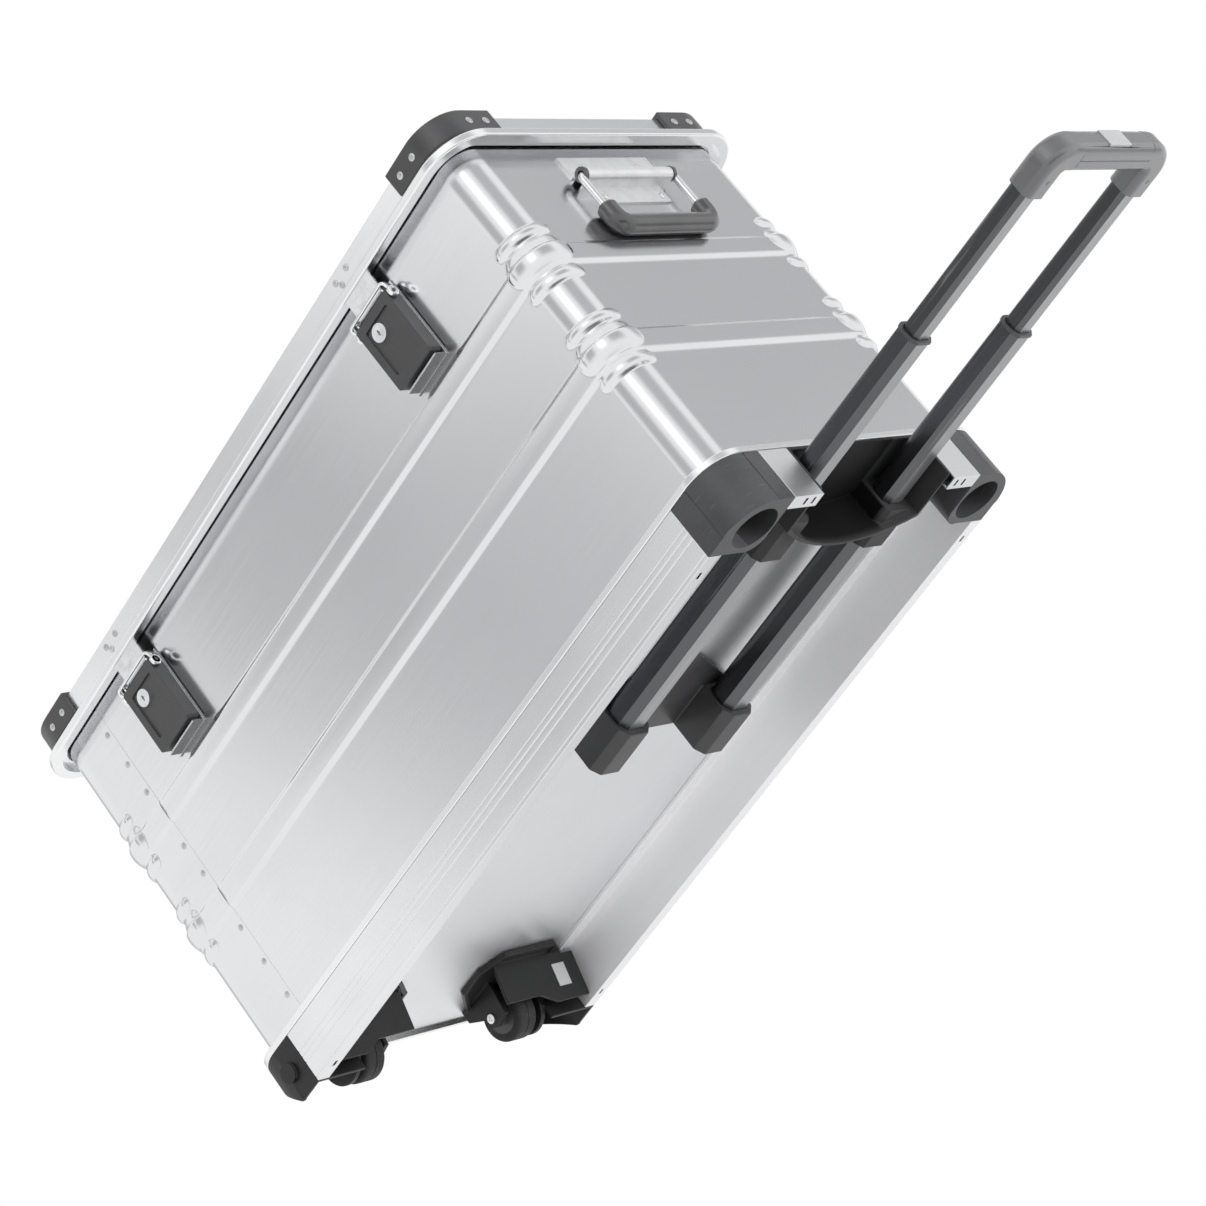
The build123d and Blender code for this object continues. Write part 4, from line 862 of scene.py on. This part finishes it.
RIM_LOW = 451.0
RIM_SHELF = 457.5
RIM_HIGH = 460.5
RIM_INNER = 11.0
RIM_OUTER = 22.0
RIM_ROUND = 2.5
RIM_STEPS = 6
LID_GAP = 2.5
FLANGE_HIGH = 490.0
FLANGE_OUTER = 7.0
FLANGE_EDGE = 0.8
WEB_LOW = 468.0
WEB_HIGH = 472.0
WEB_INNER = -8.0

BAND_LOW = 56.4
BAND_SHELF = 60.0
BAND_HIGH = 63.8
BAND_OUTER = 13.0
BAND_LIP = 4.8
BAND_ROUND = 1.4
BAND_STEPS = 5
BAND_SEAT = 0.05


def plan_stations():
    """Points and outward directions round the case's wall in plan."""
    found = []
    for turn, sx, sy in ((0.0, 1.0, 1.0), (90.0, -1.0, 1.0), (180.0, -1.0, -1.0), (270.0, 1.0, -1.0)):
        for k in range(PLAN_STEPS + 1):
            a = rad(turn + 90.0 * k / PLAN_STEPS)
            out = (math.cos(a), math.sin(a))
            found.append((sx * (WALL_X - WALL_CORNER) + WALL_CORNER * out[0],
                          sy * (WALL_Y - WALL_CORNER) + WALL_CORNER * out[1], *out))
    return found


def run_round(profile, name, node):
    """Piece with the given profile all the way round the walls."""
    shape = Shape()
    rings = [[(x + nx * out, y + ny * out, z) for out, z in profile] for x, y, nx, ny in plan_stations()]
    shape.grid(rings, closed_rows=True, closed_columns=True)
    put(shape.mesh(), name, [node], rim_metal)


def rounded_side(outer, low, high, radius, steps):
    """Outer side of a profile, from its rounded lower corner to its rounded upper one."""
    points = []
    for middle, start in ((low + radius, -90.0), (high - radius, 0.0)):
        for k in range(steps + 1):
            a = rad(start + 90.0 * k / steps)
            points.append((outer - radius + radius * math.cos(a), middle + radius * math.sin(a)))
    return points


# The lid frame's hollow by the wall comes last in its profile
lid_profile = [
    (RIM_INNER, RIM_LOW),
    *rounded_side(RIM_OUTER, RIM_LOW, RIM_HIGH, RIM_ROUND, RIM_STEPS),
    (FLANGE_OUTER + FLANGE_EDGE, RIM_HIGH),
    (FLANGE_OUTER, RIM_HIGH + FLANGE_EDGE),
    (FLANGE_OUTER, FLANGE_HIGH - FLANGE_EDGE),
    (FLANGE_OUTER - FLANGE_EDGE, FLANGE_HIGH),
    (LID_GAP, FLANGE_HIGH),
    (LID_GAP, WEB_HIGH),
    (WEB_INNER, WEB_HIGH),
    (WEB_INNER, WEB_LOW),
    (LID_GAP, WEB_LOW),
    (LID_GAP, RIM_SHELF),
    (RIM_INNER, RIM_SHELF),
]
band_profile = [
    (BAND_SEAT, BAND_SHELF),
    (BAND_OUTER - BAND_LIP, BAND_SHELF),
    (BAND_OUTER - BAND_LIP, BAND_LOW),
    *rounded_side(BAND_OUTER, BAND_LOW, BAND_HIGH, BAND_ROUND, BAND_STEPS),
    (BAND_SEAT, BAND_HIGH),
]
run_round(lid_profile, "lid_frame_extruded", "lid_frame")
run_round(band_profile, "base_band_folded", "base_band")


# Rivets, and CAD nodes that only get rounded edges

# On the rails only edges turned further than this are rounded
RAIL_ANGLE = 70.0

domed_rivets("lid_rivets", rivet_metal)
domed_rivets("seam_rivets", rivet_metal)
domed_rivets("carry_rivets", bright_metal)

for node in ("corner_foot_front", "corner_foot_back"):
    softened(node, "_moulded", foot_plastic, soften=1.0, steps=3)
for node in ("wheel_housing_front", "wheel_housing_back"):
    softened(node, "_moulded", housing_plastic_shaded, soften=0.9)
softened("handle_cup", "_moulded", cup_plastic, soften=0.8)
softened("front_rail", "_extruded", rail_metal, soften=0.5, sharp=RAIL_ANGLE)
softened("back_rail", "_extruded", dull_metal, soften=0.5, sharp=RAIL_ANGLE)
softened("handle_end_rails", "_extruded", plain_metal, soften=0.6, sharp=RAIL_ANGLE)
softened("tube_bracket", "_moulded", dim_plastic, soften=1.2)
softened("lid_corners", "_moulded", black_plastic, soften=1.2)
for node in ("grip_elbow_front", "grip_elbow_back", "grip_bar_outer", "grip_bar_inner"):
    softened(node, "_moulded", grip_plastic, soften=1.1, steps=3)
softened("release_button", "_moulded", grey_plastic, soften=0.8)
softened("middle_collars", "_moulded", black_plastic, soften=0.4)


# Latches

LATCH_X = 246.0
PLATE_FACE = -189.0
PLATE_LIP_Y = -201.0
PLATE_LIP_Z = 344.0
PLATE_LIP_HALF = 25.0
PLATE_LIP_THICK = 1.8
PANEL_Y = -205.2
PANEL_DEEPER = 1.1
PANEL_NEAR = 0.05
LOCK_X = -5.5
LOCK_Z = 402.0
LOCK_FACE = -207.0
LOCK_RINGS = (8.1, 5.9, 3.9)
RING_WIRE = 0.7
RING_WIRE_STEP = 45
RING_SINK = 0.65
RING_SIDES = 32
EYE_X = 30.2
EYE_Y = -200.0
EYE_Z = 419.0
EYE_OUTER = 6.2
EYE_INNER = 2.1
EYE_HALF = 2.0
EYE_EDGE = 0.8
EYE_SIDES = 28
ALONG_X = (1.0, 0.0, 0.0)
ALONG_Y = (0.0, 1.0, 0.0)


def ring_loop(shape, centre, radius, wire):
    """Thin ring round an axis along y."""
    turns = [rad(a) for a in range(0, 360, RING_WIRE_STEP)]
    profile = [(radius + wire * math.cos(a), wire * math.sin(a)) for a in turns]
    shape.turned(profile, centre, ALONG_Y, RING_SIDES, hollow=True)


def latch(side, x):
    """Plate with its lip, lever with a sunk panel, ringed lock and bail with eyes."""
    node = "latch_plate_" + side
    plate = Shape()
    plate.block((x - PLATE_LIP_HALF, PLATE_LIP_Y, PLATE_LIP_Z - PLATE_LIP_THICK),
                (x + PLATE_LIP_HALF, PLATE_FACE, PLATE_LIP_Z))
    put(plate.mesh(copied(node)), "latch_plate_pressed_" + side, [node], latch_metal, soften=0.35)
    node = "latch_lever_" + side
    lever = copied(node)
    for vert in lever.verts:
        if abs(vert.co.y - PANEL_Y * MM) < PANEL_NEAR * MM:
            vert.co.y += PANEL_DEEPER * MM
    put(lever, "latch_lever_moulded_" + side, [node], black_plastic, soften=0.6)
    node = "lock_cylinder_" + side
    lock = Shape()
    for radius in LOCK_RINGS:
        ring_loop(lock, (x + LOCK_X, LOCK_FACE + RING_SINK, LOCK_Z), radius, RING_WIRE)
    put(lock.mesh(copied(node)), "lock_turned_" + side, [node], bright_metal)
    node = "latch_bail_" + side
    bail = Shape()
    eye = [(EYE_INNER, -EYE_HALF), (EYE_OUTER - EYE_EDGE, -EYE_HALF), (EYE_OUTER, -EYE_HALF + EYE_EDGE),
           (EYE_OUTER, EYE_HALF - EYE_EDGE), (EYE_OUTER - EYE_EDGE, EYE_HALF), (EYE_INNER, EYE_HALF)]
    for turn in (-1.0, 1.0):
        bail.turned(eye, (x + turn * EYE_X, EYE_Y, EYE_Z), ALONG_X, EYE_SIDES, hollow=True)
    put(bail.mesh(copied(node)), "latch_bail_bent_" + side, [node], bright_metal)


latch("handle_side", LATCH_X)
latch("wheel_side", -LATCH_X)


# Carry handles

# The plate's two parts are half width, lower edge and upper edge
CARRY_TOP = (63.0, 414.0, 441.0)
CARRY_FOOT = (48.0, 380.0, 402.0)
CARRY_WALL = 414.0
CARRY_THICK = 2.0
CARRY_ANGLE = 40.0
CLASP_AXIS = (425.0, 408.0)
CLASP_HALF = 60.0
CLASP_RADIUS = 6.8
CLASP_HOLE = 4.6
CLASP_STEP = 15
CARRY_GRIP_RADIUS = 10.3
CARRY_GRIP_Z = 341.0
CARRY_GRIP_Y = 66.0
CARRY_GRIP_TOP = 366.0
CARRY_GRIP_BEND = 16.0
CARRY_GRIP_BEND_STEPS = 8
CARRY_GRIP_END = 2.5
CARRY_GRIP_TAPER = 2.0
CARRY_GRIP_SIDES = 28
CARRY_BORE = 4.2
BUSH_RADIUS = 7.6
BUSH_SIDES = 24
BUSH_Y = (60.6, 64.0)


def clasp_outline():
    """Section of the clasp that holds the bail, as (distance from the middle of the case, height)."""
    axis_x, axis_z = CLASP_AXIS
    face = CARRY_WALL + CARRY_THICK
    root = face - CARRY_THICK
    outer, inner = [], []
    for turn in range(-90, 91, CLASP_STEP):
        c, s = math.cos(rad(turn)), math.sin(rad(turn))
        outer.append((axis_x + CLASP_RADIUS * c, axis_z + CLASP_RADIUS * s))
        inner.append((axis_x + CLASP_HOLE * c, axis_z + CLASP_HOLE * s))
    return [(root, axis_z - CLASP_RADIUS), *outer, (root, axis_z + CLASP_RADIUS),
            (root, axis_z + CLASP_HOLE), (face, axis_z + CLASP_HOLE), *inner[::-1],
            (face, axis_z - CLASP_HOLE), (root, axis_z - CLASP_HOLE)]


def carry_handle(end, sign):
    """Plate with its clasp, and a bent grip with two bushes on the clasp's axis."""
    axis_x, axis_z = CLASP_AXIS
    plate = Shape()
    for half, low, high in (CARRY_TOP, CARRY_FOOT):
        a, b = sign * CARRY_WALL, sign * (CARRY_WALL + CARRY_THICK)
        plate.block((min(a, b), -half, low), (max(a, b), half, high))
    plate.loft([[(sign * u, y, z) for u, z in clasp_outline()] for y in (-CLASP_HALF, CLASP_HALF)])
    put(plate.mesh(), "carry_plate_pressed_" + end, ["carry_plate_" + end], plate_metal, soften=0.4,
        sharp=CARRY_ANGLE)
    grip = Shape()
    x = sign * axis_x
    corners = [(x, -CARRY_GRIP_Y, CARRY_GRIP_TOP), (x, -CARRY_GRIP_Y, CARRY_GRIP_Z),
               (x, CARRY_GRIP_Y, CARRY_GRIP_Z), (x, CARRY_GRIP_Y, CARRY_GRIP_TOP)]
    path = bent(corners, CARRY_GRIP_BEND, CARRY_GRIP_BEND_STEPS)
    drop = Vector((0.0, 0.0, CARRY_GRIP_END))
    path = [path[0], path[0] - drop, *path[1:-1], path[-1] - drop, path[-1]]
    tip = CARRY_GRIP_RADIUS - CARRY_GRIP_TAPER
    radii = [tip] + [CARRY_GRIP_RADIUS] * (len(path) - 2) + [tip]
    grip.rod(path, radii, CARRY_GRIP_SIDES)
    for side in (-1.0, 1.0):
        start, stop = sorted(side * y for y in BUSH_Y)
        bush = [(CARRY_BORE, start), (BUSH_RADIUS, start), (BUSH_RADIUS, stop), (CARRY_BORE, stop)]
        grip.turned(bush, (x, 0.0, axis_z), ALONG_Y, BUSH_SIDES, hollow=True)
    put(grip.mesh(), "carry_grip_moulded_" + end, ["carry_grip_" + end], gloss_plastic)


carry_handle("handle_end", 1.0)
carry_handle("wheel_end", -1.0)


# CAD nodes that are shown as they are
for name, node in nodes.items():
    if not node.hide_render:
        node.data.materials.clear()
        node.data.materials.append(slot_material[slot_of[name]])


# Studio. Its lengths are metres.

WORLD_TONE = (0.45, 0.454, 0.465, 1.0)
WHITE = (1.0, 1.0, 1.0, 1.0)
FLOOR_HALF = 4.0
FLOOR_Z = -0.0006
FLOOR_TONE = (0.9, 0.9, 0.9, 1.0)
FLOOR_LIFT = (0.32, 0.32, 0.32, 1.0)
AIM = Vector((0.0, 0.0, 0.24))
CARD_DISTANCE = 3.4
CARD_STEPS = 16
CARD_FADE = 1.6
CARD_BLUE = 1.02
LAMP_DISTANCE = 3.0
SENSOR_WIDTH = 36.0
LENS = 107.22
CLIP_NEAR = 0.05
CLIP_FAR = 60.0
CAMERA_PLACE = (1.7038, -2.5366, -1.1961)
CAMERA_RIGHT = (0.5017, 0.6551, -0.5649)
CAMERA_BACK = (0.5264, -0.7494, -0.4015)


def shown(thing):
    """Adds an object to the scene."""
    bpy.context.scene.collection.objects.link(thing)
    return thing


def mixed(tree, factor, first, second, output):
    """Mix of two shaders that goes to the output of a node tree."""
    mix = tree.nodes.new("ShaderNodeMixShader")
    tree.links.new(factor, mix.inputs["Fac"])
    tree.links.new(first, mix.inputs[1])
    tree.links.new(second, mix.inputs[2])
    out = tree.nodes.new(output)
    tree.links.new(mix.outputs["Shader"], out.inputs["Surface"])


def empty_material(mesh, name):
    """Node tree of a new material without nodes on a mesh."""
    material = bpy.data.materials.new(name)
    material.use_nodes = True
    material.node_tree.nodes.clear()
    mesh.materials.append(material)
    return material.node_tree


def studio_world():
    """White for what the camera and the metal see, a plain soft level for everything else."""
    world = bpy.data.worlds.new("studio")
    bpy.context.scene.world = world
    world.use_nodes = True
    tree = world.node_tree
    tree.nodes.clear()
    paths = tree.nodes.new("ShaderNodeLightPath")
    seen = tree.nodes.new("ShaderNodeMath")
    seen.operation = "ADD"
    tree.links.new(paths.outputs["Is Camera Ray"], seen.inputs[0])
    tree.links.new(paths.outputs["Is Glossy Ray"], seen.inputs[1])
    either = tree.nodes.new("ShaderNodeMath")
    either.operation = "ADD"
    either.use_clamp = True
    tree.links.new(seen.outputs["Value"], either.inputs[0])
    tree.links.new(paths.outputs["Is Transmission Ray"], either.inputs[1])
    plain = tree.nodes.new("ShaderNodeBackground")
    plain.inputs["Color"].default_value = WORLD_TONE
    white = tree.nodes.new("ShaderNodeBackground")
    white.inputs["Color"].default_value = WHITE
    mixed(tree, either.outputs["Value"], plain.outputs["Background"], white.outputs["Background"],
          "ShaderNodeOutputWorld")


def floor():
    """Pale floor that holds the shadow from above and lets a camera below it look through."""
    mesh = bpy.data.meshes.new("floor")
    corners = [(-FLOOR_HALF, -FLOOR_HALF, FLOOR_Z), (FLOOR_HALF, -FLOOR_HALF, FLOOR_Z),
               (FLOOR_HALF, FLOOR_HALF, FLOOR_Z), (-FLOOR_HALF, FLOOR_HALF, FLOOR_Z)]
    mesh.from_pydata(corners, [], [(0, 1, 2, 3)])
    plane = shown(bpy.data.objects.new("floor", mesh))
    tree = empty_material(mesh, "floor")
    side = tree.nodes.new("ShaderNodeNewGeometry")
    pale = tree.nodes.new("ShaderNodeBsdfDiffuse")
    pale.inputs["Color"].default_value = FLOOR_TONE
    lift = tree.nodes.new("ShaderNodeEmission")
    lift.inputs["Color"].default_value = FLOOR_LIFT
    lit = tree.nodes.new("ShaderNodeAddShader")
    tree.links.new(pale.outputs["BSDF"], lit.inputs[0])
    tree.links.new(lift.outputs["Emission"], lit.inputs[1])
    clear = tree.nodes.new("ShaderNodeBsdfTransparent")
    mixed(tree, side.outputs["Backfacing"], lit.outputs["Shader"], clear.outputs["BSDF"],
          "ShaderNodeOutputMaterial")
    plane.visible_diffuse = False
    plane.visible_glossy = False
    plane.visible_shadow = False


def direction(azimuth, elevation):
    """Unit vector; azimuth is measured from +x towards +y."""
    a, e = rad(azimuth), rad(elevation)
    return Vector((math.cos(a) * math.cos(e), math.sin(a) * math.cos(e), math.sin(e)))


def card(name, azimuth, elevation, wide, tall, shade):
    """Soft-edged grey card that only reflections see; wide and tall are angles."""
    points, faces, fades = [], [], []
    for r in range(CARD_STEPS + 1):
        for c in range(CARD_STEPS + 1):
            u, v = 2.0 * c / CARD_STEPS - 1.0, 2.0 * r / CARD_STEPS - 1.0
            towards = direction(azimuth + u * wide / 2.0, elevation + v * tall / 2.0)
            points.append(AIM + CARD_DISTANCE * towards)
            fades.append(smooth_step(CARD_FADE * (1.0 - abs(u))) * smooth_step(CARD_FADE * (1.0 - abs(v))))
    for r in range(CARD_STEPS):
        for c in range(CARD_STEPS):
            k = r * (CARD_STEPS + 1) + c
            faces.append((k, k + 1, k + CARD_STEPS + 2, k + CARD_STEPS + 1))
    mesh = bpy.data.meshes.new(name)
    mesh.from_pydata(points, [], faces)
    layer = mesh.attributes.new("fade", "FLOAT", "POINT")
    layer.data.foreach_set("value", fades)
    sheet = shown(bpy.data.objects.new(name, mesh))
    tree = empty_material(mesh, name)
    fade = tree.nodes.new("ShaderNodeAttribute")
    fade.attribute_name = "fade"
    glow = tree.nodes.new("ShaderNodeEmission")
    glow.inputs["Color"].default_value = (shade, shade, shade * CARD_BLUE, 1.0)
    clear = tree.nodes.new("ShaderNodeBsdfTransparent")
    mixed(tree, fade.outputs["Fac"], clear.outputs["BSDF"], glow.outputs["Emission"],
          "ShaderNodeOutputMaterial")
    sheet.visible_camera = False
    sheet.visible_diffuse = False
    sheet.visible_transmission = False
    sheet.visible_shadow = False


def lamp(name, azimuth, elevation, size, power):
    """Round soft lamp that reflections do not see."""
    light = bpy.data.lights.new(name, "AREA")
    light.shape = "DISK"
    light.size = size
    light.energy = power
    holder = shown(bpy.data.objects.new(name, light))
    holder.visible_glossy = False
    holder.location = AIM + LAMP_DISTANCE * direction(azimuth, elevation)
    holder.rotation_mode = "QUATERNION"
    holder.rotation_quaternion = direction(azimuth, elevation).to_track_quat("Z", "Y")


def camera():
    """Camera in the photograph's place, below the case and rolled to one side."""
    data = bpy.data.cameras.new("photo_view")
    data.sensor_fit = "HORIZONTAL"
    data.sensor_width = SENSOR_WIDTH
    data.lens = LENS
    data.clip_start = CLIP_NEAR
    data.clip_end = CLIP_FAR
    holder = shown(bpy.data.objects.new("photo_view", data))
    right = Vector(CAMERA_RIGHT).normalized()
    back = Vector(CAMERA_BACK)
    back = (back - right * back.dot(right)).normalized()
    up = back.cross(right)
    turn = Matrix((right, up, back)).transposed()
    holder.matrix_world = Matrix.Translation(CAMERA_PLACE) @ turn.to_4x4()
    bpy.context.scene.camera = holder


studio_world()
floor()
card("card_front", azimuth=230.0, elevation=33.0, wide=14.0, tall=32.0, shade=0.5)
card("card_front_low", azimuth=236.6, elevation=19.0, wide=20.0, tall=28.0, shade=0.58)
card("card_high_left", azimuth=221.0, elevation=60.0, wide=24.0, tall=36.0, shade=0.3)
card("card_left", azimuth=268.0, elevation=26.0, wide=42.0, tall=50.0, shade=0.53)
card("card_right", azimuth=352.0, elevation=26.0, wide=54.0, tall=50.0, shade=0.56)
card("card_end", azimuth=60.0, elevation=30.0, wide=50.0, tall=50.0, shade=0.55)
card("card_back", azimuth=110.0, elevation=25.0, wide=34.0, tall=50.0, shade=0.6)
card("card_far", azimuth=165.0, elevation=25.0, wide=40.0, tall=50.0, shade=0.6)
card("card_under", azimuth=122.0, elevation=-24.0, wide=40.0, tall=40.0, shade=0.7)
card("softbox", azimuth=309.0, elevation=28.0, wide=26.0, tall=46.0, shade=1.7)
card("card_low_corner", azimuth=325.0, elevation=-34.0, wide=90.0, tall=26.0, shade=0.08)
card("card_end_low", azimuth=55.0, elevation=-30.0, wide=36.0, tall=24.0, shade=0.3)
card("card_high", azimuth=154.0, elevation=56.0, wide=60.0, tall=30.0, shade=0.25)
lamp("key", azimuth=300.0, elevation=40.0, size=1.6, power=20.0)
lamp("low", azimuth=15.0, elevation=-30.0, size=2.0, power=55.0)
camera()
bpy.context.scene.view_settings.view_transform = "Standard"
